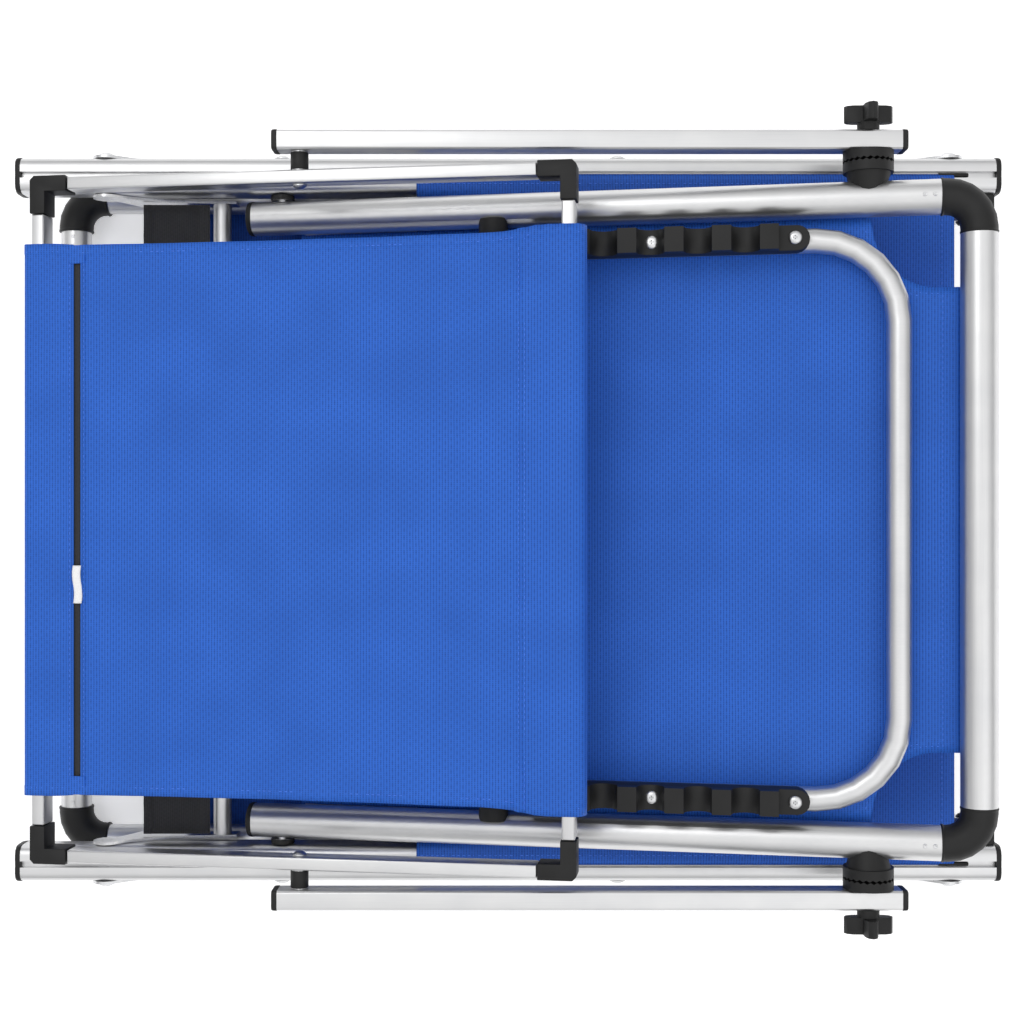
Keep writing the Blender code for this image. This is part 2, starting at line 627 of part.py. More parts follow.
def build_canopy(frame):
    half_x = CANOPY_HALF_LENGTH
    wide = CANOPY_BAR_WIDTH / 2
    deep = CANOPY_BAR_DEPTH / 2
    leg = CANOPY_CORNER_LEG
    for word, side in (("left", 1), ("right", -1)):
        low_y, high_y = span(side, CANOPY_BAR_Y - wide, CANOPY_BAR_Y + wide)
        bar = block("canopy_side_bar_" + word, frame, (-half_x + leg + GAP - wide, low_y, -deep),
                    (half_x - leg - GAP + wide, high_y, deep), "aluminium", bevel=0.8)
        drill(bar, frame, 0, 0, CLAMP_BOLT_RADIUS + GAP, low_y - 5, high_y + 5)
    cross_half = CANOPY_BAR_Y + wide - leg - GAP
    for word, x in (("right", half_x), ("left", -half_x)):
        block("canopy_end_bar_" + word, frame, (x - wide, -cross_half, -deep), (x + wide, cross_half, deep),
              "aluminium", bevel=0.8)
    for end, sx in (("right", 1), ("left", -1)):
        for edge, sy in (("upper", 1), ("lower", -1)):
            reach = wide + 1.0
            far_x = half_x + reach
            far_y = CANOPY_BAR_Y + reach
            ell = [(far_x, far_y - leg - 1), (far_x, far_y - 3), (far_x - 3, far_y), (far_x - leg - 1, far_y),
                   (far_x - leg - 1, far_y - 2 * reach), (far_x - 2 * reach, far_y - 2 * reach),
                   (far_x - 2 * reach, far_y - leg - 1)]
            outline = [(sx * x, sy * y) for x, y in ell]
            prism(f"canopy_corner_{end}_{edge}", frame, outline, "XY", -deep - 1.0, deep + 1.0,
                  "black_plastic", False)
    block("canopy_sheet", frame, (-half_x - 12.0, -CANOPY_SHEET_HALF, deep + GAP),
          (half_x + 13.0, CANOPY_SHEET_HALF, deep + GAP + SHEET_THICKNESS), "mesh_fabric", bevel=0.3)


# ---------------------------------------------------------------- legs

def leg_plate(name, frame, tip, y_low, y_high, way):
    """A side plate from the pivot to the leg tube; way points along the folded leg."""
    outline = arc((0.0, 0.0), 11.0, 60, 300, 8)
    outline += [(20.0, -34.0), (tip, -36.0), (tip, -20.0), (48.0, -15.5), (20.0, -2.0)]
    outline = [(way * x, z) for x, z in outline]
    plate = prism(name, frame, outline, "XZ", y_low, y_high, "steel", False)
    return drill(plate, frame, 0, 0, PIVOT_BOLT_RADIUS + GAP, y_low - 4, y_high + 4)


def build_rear_leg(frame):
    outer = RAIL_Y + RAIL_WIDTH / 2 + GAP
    inner = RAIL_Y - RAIL_WIDTH / 2 - GAP
    bent_tube("rear_leg_tube", frame,
              u_path(22.0, REAR_LEG_END_X - REAR_PIVOT_X, LEG_Y, LEG_Z, LEG_BEND), LEG_RADIUS, "aluminium")
    for word, side in (("left", 1), ("right", -1)):
        leg_plate("rear_outer_plate_" + word, frame, 101.0, *span(side, outer, outer + PLATE_THICKNESS), 1)
        leg_plate("rear_inner_plate_" + word, frame, 101.0, *span(side, inner - PLATE_THICKNESS, inner), 1)
    half = inner - PLATE_THICKNESS - GAP
    bar_x = REAR_BAR_X - REAR_PIVOT_X
    rod("rear_cross_bar", frame, (bar_x, -half, REAR_BAR_Z), (bar_x, half, REAR_BAR_Z), REAR_BAR_RADIUS,
        "aluminium")


def build_front_leg(frame):
    outer = RAIL_Y + RAIL_WIDTH / 2 + GAP
    bent_tube("front_leg_tube", frame,
              u_path(-18.0, FRONT_LEG_END_X - FRONT_PIVOT_X, LEG_Y, LEG_Z, LEG_BEND), LEG_RADIUS, "aluminium")
    for word, side in (("left", 1), ("right", -1)):
        leg_plate("front_plate_" + word, frame, 84.0, *span(side, outer, outer + PLATE_THICKNESS), -1)


# ---------------------------------------------------------------- foot frame

def build_foot_frame(frame):
    hinge_x, hinge_z = FOOT_HINGE
    z = FOOT_Z - hinge_z
    cross_x = FOOT_CROSS_X - hinge_x
    tube_end = FOOT_TUBE_END_X - hinge_x
    mouth = cross_x + ELBOW_BEND + ELBOW_SOCKET
    pin_x = FOOT_LEG_PIVOT_X - hinge_x
    for word, side in (("left", 1), ("right", -1)):
        tube = rod("foot_tube_" + word, frame, (mouth + GAP, side * FOOT_TUBE_Y, z),
                   (tube_end, side * FOOT_TUBE_Y, z), FOOT_TUBE_RADIUS, "aluminium", sides=20)
        collar = rod("collar", frame, (tube_end - 3.0, side * FOOT_TUBE_Y, z),
                     (tube_end + 3.5, side * FOOT_TUBE_Y, z), ELBOW_RADIUS, "black_plastic")
        pin = rod("pin", frame, (pin_x, side * (FOOT_TUBE_Y - 6.0), z), (pin_x, side * 236.0, z),
                  FOOT_LEG_PIN_RADIUS, "steel", sides=12)
        fuse(tube, collar, pin)
        elbow("foot_elbow_" + word, frame, cross_x, FOOT_TUBE_Y, z, side, -1)
    cross_half = FOOT_TUBE_Y - ELBOW_BEND - ELBOW_SOCKET - GAP
    rod("foot_cross_tube", frame, (cross_x, -cross_half, z), (cross_x, cross_half, z), FOOT_TUBE_RADIUS,
        "aluminium", sides=20)
    sheet_z = z - FOOT_TUBE_RADIUS + 0.5
    inner = FOOT_TUBE_Y - SHEET_INSET
    outline = sheet_outline(tube_end - 4.0, cross_x + SHEET_INSET, inner, 176.0, 86.0)
    prism("foot_sheet", frame, outline, "XY", sheet_z - SHEET_THICKNESS / 2,
          sheet_z + SHEET_THICKNESS / 2, "mesh_fabric", smooth=False)
    for word, side in (("left", 1), ("right", -1)):
        outline = arc((0.0, 0.0), 8.5, -30, 150, 6) + [(-48.0, -21.0), (-48.0, -32.0), (-24.0, -33.0)]
        link_outer = BRACKET_Y - 2 * GAP
        link = prism("foot_link_" + word, frame, outline, "XZ",
                     *span(side, link_outer - LINK_THICKNESS + GAP, link_outer), "aluminium", False)
        fuse(link, rod("spacer", frame, (-38.0, side * (link_outer - 1.5), z), (-38.0, side * 256.1, z), 5.0,
                       "steel", sides=12))
        drill(link, frame, 0, 0, PIVOT_BOLT_RADIUS + GAP, *span(side, 240, 255))


def build_foot_leg(frame):
    tube = bent_tube("foot_leg_tube", frame,
                     u_path(-FOOT_LEG_TAIL, FOOT_LEG_END_X - FOOT_LEG_PIVOT_X, FOOT_LEG_Y, 0.0, LEG_BEND),
                     FOOT_LEG_RADIUS, "aluminium")
    for side in (1, -1):
        drill(tube, frame, 0, 0, FOOT_LEG_PIN_RADIUS + GAP, *span(side, 230.0, 260.0))


clear_scene()
PARTS = new_collection(COLLECTION_NAME)
CUTTERS = new_collection(COLLECTION_NAME + "_cutters", hidden=True)
MATERIALS = make_materials()

base = pivot_empty("seat_frame", 0.0, RAIL_AXIS_HEIGHT)
head = pivot_empty("head_hinge", HEAD_HINGE_X, 0.0, HEAD_ANGLE, base)
prop = pivot_empty("prop_pivot", PROP_PIVOT, PROP_PIVOT_W, 0.0, head)
canopy = pivot_empty("canopy_pivot", *CANOPY_PIVOT, CANOPY_ANGLE, base)
arms = pivot_empty("arm_pivots", *ARM_PIVOT, 0.0, base)
rear_leg = pivot_empty("rear_leg_pivot", REAR_PIVOT_X, 0.0, 0.0, base)
front_leg = pivot_empty("front_leg_pivot", FRONT_PIVOT_X, 0.0, 0.0, base)
foot = pivot_empty("foot_hinge", *FOOT_HINGE, 0.0, base)
foot_leg = pivot_empty("foot_leg_pivot", FOOT_LEG_PIVOT_X - FOOT_HINGE[0], FOOT_Z - FOOT_HINGE[1], 0.0, foot)

build_rails(base)
build_seat_sheet(base)
build_seat_hardware(base)
build_head(head)
build_prop(prop)
build_ratchet_bases(head)
for arm_word, arm_side in (("left", 1), ("right", -1)):
    build_arm(arms, arm_word, arm_side)
    build_knob(arms, arm_word, arm_side)
build_canopy(canopy)
build_rear_leg(rear_leg)
build_front_leg(front_leg)
build_foot_frame(foot)
build_foot_leg(foot_leg)
bpy.context.view_layer.update()
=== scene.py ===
"""Looks of the folded sun lounger: fabric sheets, finishes, trim, camera and light."""
import json
from math import cos, pi, radians, sin, sqrt

import bmesh
import bpy
from mathutils import Matrix, Vector


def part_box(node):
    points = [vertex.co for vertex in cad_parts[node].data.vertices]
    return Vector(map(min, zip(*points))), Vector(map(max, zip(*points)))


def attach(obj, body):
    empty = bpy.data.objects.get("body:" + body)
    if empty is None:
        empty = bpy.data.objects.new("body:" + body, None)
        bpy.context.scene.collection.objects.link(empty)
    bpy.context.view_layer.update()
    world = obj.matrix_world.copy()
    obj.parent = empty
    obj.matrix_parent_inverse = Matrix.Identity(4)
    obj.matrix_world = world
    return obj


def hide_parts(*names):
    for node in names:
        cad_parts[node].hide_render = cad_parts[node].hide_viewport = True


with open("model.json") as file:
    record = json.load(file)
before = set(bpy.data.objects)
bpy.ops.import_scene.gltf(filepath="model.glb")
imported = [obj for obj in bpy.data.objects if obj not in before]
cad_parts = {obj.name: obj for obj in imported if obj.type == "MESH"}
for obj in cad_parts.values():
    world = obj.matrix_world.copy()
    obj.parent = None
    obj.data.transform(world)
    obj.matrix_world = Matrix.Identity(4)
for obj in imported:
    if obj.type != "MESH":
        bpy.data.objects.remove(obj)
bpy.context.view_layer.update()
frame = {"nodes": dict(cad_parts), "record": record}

MM = 0.001
CLOTH = 1.0 * MM                 # thickness of the coated mesh
THREAD_LIFT = 0.1 * MM           # how far stitches stand off the cloth
THREAD_RADIUS = 0.28 * MM
STITCH_LENGTH = 2.6 * MM
STITCH_STEP = 4.2 * MM
HEAD_TILT = radians(9.7)         # slope of the folded head frame
CANOPY_TILT = radians(8.0)       # slope of the folded sunshade
IDENTITY = Matrix.Identity(4)


def joint_position(name):
    """A joint's place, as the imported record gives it."""
    joints = frame["record"]["behaviour"]["joints"]
    return Vector(next(j["pos_m"] for j in joints if j["name"] == name))


def middle(node):
    """Centre of a node's box."""
    low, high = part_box(node)
    return (Vector(low) + Vector(high)) / 2


RAIL_AXIS = joint_position("head_recline")
HEAD = Matrix.Translation(RAIL_AXIS) @ Matrix.Rotation(-HEAD_TILT, 4, "Y")
CANOPY = Matrix.Translation(joint_position("canopy_tilt")) @ Matrix.Rotation(-CANOPY_TILT, 4, "Y")
BASE = Matrix.Translation((0.0, 0.0, RAIL_AXIS.z))
RAIL_Y = middle("rail_left").y
RAIL_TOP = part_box("rail_left")[1][2] - RAIL_AXIS.z
RAIL_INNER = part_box("rail_left")[0][1]


# -------------------------------- node materials

class Nodes:
    """Small helper round one material's node tree."""

    def __init__(self, name):
        self.material = bpy.data.materials.new(name)
        self.material.use_nodes = True
        self.tree = self.material.node_tree
        self.shader = self.tree.nodes["Principled BSDF"]

    def add(self, kind, **settings):
        """A new node, with inputs or attributes set by name."""
        node = self.tree.nodes.new(kind)
        for key, value in settings.items():
            if key in node.inputs:
                node.inputs[key].default_value = value
            else:
                setattr(node, key, value)
        return node

    def link(self, output, target):
        self.tree.links.new(output, target)

    def maths(self, operation, first, second=None):
        """A maths node on numbers or sockets."""
        node = self.add("ShaderNodeMath", operation=operation)
        for index, value in enumerate((first, second)):
            if value is None:
                continue
            if isinstance(value, (int, float)):
                node.inputs[index].default_value = value
            else:
                self.link(value, node.inputs[index])
        return node.outputs[0]

    def position(self, scale=(1.0, 1.0, 1.0)):
        """Object coordinates, stretched by scale."""
        mapping = self.add("ShaderNodeMapping")
        mapping.inputs["Scale"].default_value = scale
        self.link(self.add("ShaderNodeTexCoord").outputs["Object"], mapping.inputs["Vector"])
        return mapping.outputs["Vector"]

    def noise(self, size, detail=3.0, scale=(1.0, 1.0, 1.0)):
        """Noise with features about size metres across."""
        node = self.add("ShaderNodeTexNoise", Scale=1.0 / size, Detail=detail)
        self.link(self.position(scale), node.inputs["Vector"])
        return node.outputs["Fac"]

    def ramp(self, factor, low, high, colours):
        """Blend two colours as factor goes from low to high."""
        node = self.add("ShaderNodeValToRGB")
        node.color_ramp.elements[0].position = low
        node.color_ramp.elements[1].position = high
        for element, colour in zip(node.color_ramp.elements, colours):
            element.color = (*colour, 1.0)
        self.link(factor, node.inputs["Fac"])
        return node.outputs["Color"]

    def range(self, factor, low, high):
        """Stretch a 0 to 1 factor to low to high."""
        node = self.add("ShaderNodeMapRange")
        node.inputs["To Min"].default_value = low
        node.inputs["To Max"].default_value = high
        self.link(factor, node.inputs["Value"])
        return node.outputs["Result"]

    def bump(self, height, strength, distance):
        """Drive the surface normal from a height."""
        node = self.add("ShaderNodeBump", Strength=strength, Distance=distance)
        self.link(height, node.inputs["Height"])
        self.link(node.outputs["Normal"], self.shader.inputs["Normal"])

    def set(self, **values):
        """Constant values straight on the shader's sockets."""
        for key, value in values.items():
            self.shader.inputs[key.replace("_", " ")].default_value = value


ALUMINIUM_SHADE = 0.65


def brushed_aluminium(name, along, ends=None):
    """Satin anodised tube: drawing lines along one axis, cloudy patches and rubbed spots.

    Beyond ends, a pair of places along X, the tube is its black plastic end cap.
    """
    nodes = Nodes(name)
    stretch = tuple(0.02 if axis == along else 1.0 for axis in "XYZ")
    lines = nodes.noise(0.0009, 4.0, stretch)
    clouds = nodes.noise(0.03, 2.0)
    spots = nodes.noise(0.006, 5.0)
    blend = nodes.maths("ADD", nodes.maths("MULTIPLY", lines, 0.45), nodes.maths("MULTIPLY", clouds, 0.55))
    dark = tuple(ALUMINIUM_SHADE * tint for tint in (0.93, 0.935, 0.95))
    light = (ALUMINIUM_SHADE * 1.04,) * 3
    colour = nodes.ramp(blend, 0.3, 0.7, (dark, light))
    rough = nodes.maths("ADD", nodes.range(lines, 0.30, 0.42), nodes.range(spots, -0.05, 0.07))
    nodes.bump(lines, 0.10, 0.0002)
    if ends is None:
        nodes.link(colour, nodes.shader.inputs["Base Color"])
        nodes.link(rough, nodes.shader.inputs["Roughness"])
        nodes.set(Metallic=1.0)
        return nodes.material
    split = nodes.add("ShaderNodeSeparateXYZ")
    nodes.link(nodes.position(), split.inputs["Vector"])
    centre, half = (ends[0] + ends[1]) / 2, (ends[1] - ends[0]) / 2
    reach = nodes.maths("ABSOLUTE", nodes.maths("SUBTRACT", split.outputs["X"], centre))
    bare = nodes.maths("LESS_THAN", reach, half)
    cap = nodes.ramp(clouds, 0.3, 0.75, ((0.007,) * 3, (0.014,) * 3))
    mixed = nodes.add("ShaderNodeMix", data_type="RGBA")
    nodes.link(bare, mixed.inputs["Factor"])
    nodes.link(cap, mixed.inputs["A"])
    nodes.link(colour, mixed.inputs["B"])
    nodes.link(mixed.outputs["Result"], nodes.shader.inputs["Base Color"])
    nodes.link(bare, nodes.shader.inputs["Metallic"])
    duller = nodes.maths("MULTIPLY", nodes.maths("SUBTRACT", 1.0, bare), 0.12)
    nodes.link(nodes.maths("ADD", rough, duller), nodes.shader.inputs["Roughness"])
    return nodes.material


def zinc_steel():
    """Galvanised steel: pale crystals a millimetre across, slightly uneven."""
    nodes = Nodes("zinc_plated_steel")
    crystals = nodes.add("ShaderNodeTexVoronoi", Scale=900.0)
    nodes.link(nodes.position(), crystals.inputs["Vector"])
    grey = nodes.add("ShaderNodeRGBToBW")
    nodes.link(crystals.outputs["Color"], grey.inputs["Color"])
    nodes.link(nodes.ramp(grey.outputs["Val"], 0.1, 0.9, ((0.60, 0.61, 0.62), (0.69, 0.69, 0.70))),
               nodes.shader.inputs["Base Color"])
    nodes.link(nodes.range(nodes.noise(0.004), 0.2, 0.42), nodes.shader.inputs["Roughness"])
    nodes.bump(nodes.noise(0.0012), 0.05, 0.0002)
    nodes.set(Metallic=1.0)
    return nodes.material


PLASTIC_LEVEL = 0.009
RUBBER_LEVEL = 0.014


def moulded_plastic(name, level, roughness):
    """Black plastic with a fine spark-eroded grain and faint flow clouds."""
    nodes = Nodes(name)
    grain = nodes.noise(0.0007, 2.0)
    clouds = nodes.noise(0.02, 3.0)
    dark, light = (level * 0.8,) * 3, (level * 1.5, level * 1.5, level * 1.55)
    nodes.link(nodes.ramp(clouds, 0.3, 0.75, (dark, light)), nodes.shader.inputs["Base Color"])
    nodes.link(nodes.range(clouds, *roughness), nodes.shader.inputs["Roughness"])
    nodes.bump(grain, 0.22, 0.0003)
    nodes.set(Specular_IOR_Level=0.32)
    return nodes.material


def weave_height(nodes, rib, pick):
    """Height of a plain weave: two ribs in each rib metres of X, two picks in each pick metres of Y."""
    split = nodes.add("ShaderNodeSeparateXYZ")
    wobble = nodes.add("ShaderNodeTexNoise", Scale=60.0, Detail=1.0)
    nodes.link(nodes.position(), wobble.inputs["Vector"])
    nodes.link(nodes.position(), split.inputs["Vector"])
    drift = nodes.maths("MULTIPLY", wobble.outputs["Fac"], 0.0006)
    across = nodes.maths("MULTIPLY", nodes.maths("ADD", split.outputs["X"], drift), 2 * pi / rib)
    up = nodes.maths("MULTIPLY", nodes.maths("ADD", split.outputs["Y"], drift), 2 * pi / pick)
    warp = nodes.maths("ABSOLUTE", nodes.maths("SINE", across))
    weft = nodes.maths("ABSOLUTE", nodes.maths("SINE", up))
    over = nodes.maths("MULTIPLY", nodes.maths("SINE", nodes.maths("MULTIPLY", across, 0.5)),
                       nodes.maths("SINE", nodes.maths("MULTIPLY", up, 0.5)))
    body = nodes.maths("MAXIMUM", warp, weft)
    ribs = nodes.maths("ADD", nodes.maths("MULTIPLY", warp, 0.35), nodes.maths("MULTIPLY", body, 0.55))
    return nodes.maths("ADD", ribs, nodes.maths("MULTIPLY", over, 0.10))


def mesh_fabric(name, dark, light, hole_shade):
    """Coated polyester mesh: round ribs and picks, with painted shade in the small holes between them."""
    nodes = Nodes(name)
    height = weave_height(nodes, 4.4 * MM, 2.8 * MM)
    clouds = nodes.noise(0.05, 2.0)
    threads = nodes.ramp(clouds, 0.3, 0.7, (dark, light))
    # The holes are real openings; their much darker colour, set where the weave is low, is painted shade,
    # and the raised threads stay lighter
    mixed = nodes.add("ShaderNodeMix", data_type="RGBA")
    hole_shade_mask = nodes.add("ShaderNodeMapRange")
    hole_shade_mask.inputs["From Min"].default_value = 0.30
    hole_shade_mask.inputs["From Max"].default_value = 0.72
    nodes.link(height, hole_shade_mask.inputs["Value"])
    nodes.link(hole_shade_mask.outputs["Result"], mixed.inputs["Factor"])
    mixed.inputs["A"].default_value = (*hole_shade, 1.0)
    nodes.link(threads, mixed.inputs["B"])
    nodes.link(mixed.outputs["Result"], nodes.shader.inputs["Base Color"])
    nodes.link(nodes.range(clouds, 0.52, 0.66), nodes.shader.inputs["Roughness"])
    nodes.bump(height, 0.5, 0.0005)
    nodes.set(Sheen_Weight=0.03, Sheen_Roughness=0.4, Specular_IOR_Level=0.25)
    return nodes.material


def webbing():
    """Black woven band with coarse ribs, darker in the hollows of the weave and lighter on the ribs: painted
    shade and painted highlight.
    """
    nodes = Nodes("black_webbing")
    height = weave_height(nodes, 3.0 * MM, 1.8 * MM)
    # Colour follows the weave's height: painted shade in the hollows, painted highlight on the ribs
    nodes.link(nodes.ramp(height, 0.2, 0.9, ((0.006, 0.006, 0.007), (0.030, 0.030, 0.033))),
               nodes.shader.inputs["Base Color"])
    nodes.link(nodes.range(nodes.noise(0.01), 0.7, 0.9), nodes.shader.inputs["Roughness"])
    nodes.bump(height, 0.6, 0.0006)
    nodes.set(Sheen_Weight=0.2)
    return nodes.material


def thread_material(name, dark, light):
    """Spun thread or tape in one mottled colour."""
    nodes = Nodes(name)
    nodes.link(nodes.ramp(nodes.noise(0.001), 0.3, 0.7, (dark, light)), nodes.shader.inputs["Base Color"])
    nodes.link(nodes.range(nodes.noise(0.002), 0.5, 0.75), nodes.shader.inputs["Roughness"])
    return nodes.material


ALUMINIUM_X = brushed_aluminium("anodised_aluminium_x", "X")
ALUMINIUM_Y = brushed_aluminium("anodised_aluminium_y", "Y")
CAP = 4.0 * MM                   # length of an end cap


def capped_aluminium(node, left=CAP, right=CAP):
    """Tube finish for a node that ends in plastic caps."""
    low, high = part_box(node)
    return brushed_aluminium(node + "_finish", "X", ends=(low[0] + left, high[0] - right))


STEEL = zinc_steel()
PLASTIC = moulded_plastic("moulded_black_plastic", PLASTIC_LEVEL, (0.42, 0.60))
RUBBER = moulded_plastic("rubber_feet", RUBBER_LEVEL, (0.7, 0.9))
CANOPY_BLUE = mesh_fabric("canopy_mesh", (0.019, 0.119, 0.545), (0.026, 0.139, 0.62), (0.010, 0.059, 0.31))
# A darker copy of the canopy mesh: painted shade for the seat, waist and foot sheets, which lie under the
# head frame and the sunshade
SHADED_SEAT_BLUE = mesh_fabric("seat_mesh_painted_shade", (0.018, 0.102, 0.49), (0.023, 0.118, 0.55), (0.009, 0.052, 0.28))
WEBBING = webbing()
BLUE_THREAD = thread_material("blue_thread", (0.05, 0.17, 0.70), (0.08, 0.24, 0.85))
BLACK_THREAD = thread_material("black_thread", (0.02, 0.02, 0.02), (0.06, 0.06, 0.06))
LABEL_WHITE = thread_material("blank_label", (0.80, 0.80, 0.80), (0.92, 0.92, 0.92))


# -------------------------------- making pieces

def add_piece(name, shape, material, body, transform=IDENTITY, smooth=40):
    """Turn a bmesh into a piece that rides on body, smooth below an angle in degrees."""
    bmesh.ops.transform(shape, matrix=transform, verts=shape.verts)
    mesh = bpy.data.meshes.new(name)
    shape.to_mesh(mesh)
    shape.free()
    mesh.materials.append(material)
    mesh.shade_smooth()
    mesh.set_sharp_from_angle(angle=radians(smooth))
    piece = bpy.data.objects.new(name, mesh)
    bpy.context.scene.collection.objects.link(piece)
    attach(piece, body)
    return piece


def surface(grid):
    """A bmesh from rows of points."""
    shape = bmesh.new()
    rows = [[shape.verts.new(point) for point in row] for row in grid]
    for lower, upper in zip(rows, rows[1:]):
        for a, b, c, d in zip(lower, lower[1:], upper[1:], upper):
            shape.faces.new((a, b, c, d))
    return shape


def cloth(name, grid, material, body, transform, node=None, thick=CLOTH):
    """A sheet of mesh fabric over grid; its area is worked out but not used."""
    shape = surface(grid)
    area = sum(face.calc_area() for face in shape.faces)
    piece = add_piece(name, shape, material, body, transform, smooth=180)
    solid = piece.modifiers.new("cloth", "SOLIDIFY")
    solid.thickness = thick
    solid.offset = 0.0
    if node:
        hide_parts(*node)
    return piece


def spread(low, high, count):
    """Evenly spaced values, both ends included."""
    return [low + (high - low) * i / (count - 1) for i in range(count)]


def smoothstep(value):
    """Ease from 0 to 1."""
    value = min(1.0, max(0.0, value))
    return value * value * (3 - 2 * value)


def stitches(name, lines, body, transform, material=BLUE_THREAD):
    """Rows of short thread bars along polylines."""
    shape = bmesh.new()
    for line in lines:
        travel = 0.0
        for start, end in zip(line, line[1:]):
            start, end = Vector(start), Vector(end)
            reach = (end - start).length
            while travel < reach:
                a = start.lerp(end, travel / reach)
                b = start.lerp(end, min(1.0, (travel + STITCH_LENGTH) / reach))
                thread_bar(shape, a, b)
                travel += STITCH_STEP
            travel -= reach
    return add_piece(name, shape, material, body, transform)


def thread_bar(shape, start, end):
    """One stitch: a spindle dipping into the cloth at its ends."""
    along = end - start
    if along.length < THREAD_RADIUS:
        return
    side = along.cross(Vector((0, 0, 1))).normalized() * THREAD_RADIUS
    lift = Vector((0, 0, THREAD_RADIUS))
    mid_a, mid_b = start.lerp(end, 0.2), start.lerp(end, 0.8)
    tip_a, tip_b = shape.verts.new(start - lift), shape.verts.new(end - lift)
    first = [shape.verts.new(mid_a + off) for off in (side, lift, -side, -lift)]
    last = [shape.verts.new(mid_b + off) for off in (side, lift, -side, -lift)]
    for i in range(4):
        j = (i + 1) % 4
        shape.faces.new((first[i], first[j], tip_a))
        shape.faces.new((first[j], first[i], last[i], last[j]))
        shape.faces.new((last[j], last[i], tip_b))
    bmesh.ops.recalc_face_normals(shape, faces=shape.faces[-12:])


def turned(shape, profile, place, segments=32):
    """Add a turned solid to shape: profile is (radius, height) from its foot to its top."""
    start = len(shape.verts)
    rings = []
    for radius, height in profile:
        if radius <= 0:
            rings.append([shape.verts.new((0, 0, height))])
        else:
            rings.append([shape.verts.new((radius * cos(2 * pi * i / segments),
                                           radius * sin(2 * pi * i / segments), height))
                          for i in range(segments)])
    for lower, upper in zip(rings, rings[1:]):
        for i in range(segments):
            j = (i + 1) % segments
            corners = [lower[i % len(lower)], lower[j % len(lower)],
                       upper[j % len(upper)], upper[i % len(upper)]]
            unique = list(dict.fromkeys(corners))
            if len(unique) > 2:
                shape.faces.new(unique)
    shape.verts.ensure_lookup_table()
    bmesh.ops.transform(shape, matrix=place, verts=shape.verts[start:])


def pointing(place, direction):
    """A matrix at place whose Z points along direction."""
    return Matrix.Translation(place) @ Vector(direction).to_track_quat("Z", "Y").to_matrix().to_4x4()


def rounded_box(shape, low, high, radius, segments):
    """Add a box with rounded edges."""
    low, high = Vector(low), Vector(high)
    box = Matrix.Translation((low + high) / 2) @ Matrix.Diagonal((*(high - low), 1.0))
    made = bmesh.ops.create_cube(shape, size=1.0, matrix=box)["verts"]
    edges = {edge for vert in made for edge in vert.link_edges}
    bmesh.ops.bevel(shape, geom=list(edges), offset=radius, segments=segments, affect="EDGES", profile=0.5)


# -------------------------------- sunshade cloth

# Places along the sunshade are measured from its tilt axis, heights from its bars' middle plane.
CANOPY_HALF_WIDTH = 0.2165       # at the widest part of the hem
BAR_REACH = 0.2055               # from the tilt axis to the middle of an end bar
BAR_DEEP = 9.0 * MM              # half the depth of an end bar
SLEEVE_TOP = BAR_DEEP + 1.1 * MM
HEM = 8.0 * MM
SEAM = 0.1705                    # where the right sleeve is sewn down
SLIT = (-0.1755, -0.1700)        # open strip beside the left sleeve
HEM_SEAM_REACH = 0.214           # how far the hems' stitches run from the tilt axis
SLEEVE_SEAM_START = 0.175        # where they begin again on the right sleeve
PANEL_SAG = 1.6 * MM
SLEEVE_PUFF = 1.2 * MM           # how far the right sleeve's top stands off its bar
RIGHT_EDGE = BAR_REACH + 12.5 * MM
LEFT_EDGE = -BAR_REACH - 11.8 * MM
RIGHT_FOLD = 6.0 * MM            # depth of the round fold at the sunshade's ends
LEFT_FOLD = 4.0 * MM
FOLD_STEPS = 9
TAPE_HALF_LENGTH = 0.2105        # of the black tape that shows through the slit
TAB_START = 0.1965               # where the cloth tabs that close the slit begin
TAB_END = 0.2106
LABEL_SPAN = (-0.064, -0.035)    # along the slit


def panel_sag(along):
    """How far the panel hangs between its sleeves."""
    if not SLIT[1] < along < SEAM:
        return 0.0
    return PANEL_SAG * sin(pi * (along - SLIT[1]) / (SEAM - SLIT[1]))


def across_canopy():
    """Fractions of the half width, with close pairs at the hem lines."""
    hem = 1.0 - HEM / CANOPY_HALF_WIDTH
    inner = spread(-hem + 0.01, hem - 0.01, 41)
    return [-1.0, -hem - 0.004, -hem] + inner + [hem, hem + 0.004, 1.0]


def fold(edge, depth, under, way):
    """Round end of a sleeve, from its top to its underside, at edge; way is the end's side along X."""
    middle_height = (SLEEVE_TOP + under) / 2
    radius = (SLEEVE_TOP - under) / 2
    points = []
    for step in range(1, FOLD_STEPS):
        turn = pi / 2 - way * pi * step / FOLD_STEPS
        points.append((edge - way * depth + depth * cos(turn), middle_height + radius * sin(turn)))
    return points


def canopy_panel_path():
    """Section of the main panel and the right sleeve: (along, height) from the slit to the seam."""
    under = -BAR_DEEP - 1.6 * MM
    path = [(x, SLEEVE_TOP - panel_sag(x)) for x in spread(SLIT[1], SEAM - 0.006, 45)]
    path += [(SEAM + step, SLEEVE_TOP) for step in (-0.0028, -0.0013, 0.0, 0.0013, 0.0028)]
    path += [(x, SLEEVE_TOP + SLEEVE_PUFF * sin(pi * (x - SEAM) / (RIGHT_EDGE - SEAM) * 0.9))
             for x in spread(SEAM + 0.0055, RIGHT_EDGE - RIGHT_FOLD, 8)]
    path += fold(RIGHT_EDGE, RIGHT_FOLD, under, 1)
    path += [(RIGHT_EDGE - 0.008, under), (0.196, under - 0.0004), (0.186, under + 0.004),
             (0.177, SLEEVE_TOP - 0.006), (0.172, SLEEVE_TOP - 0.0022)]
    return path


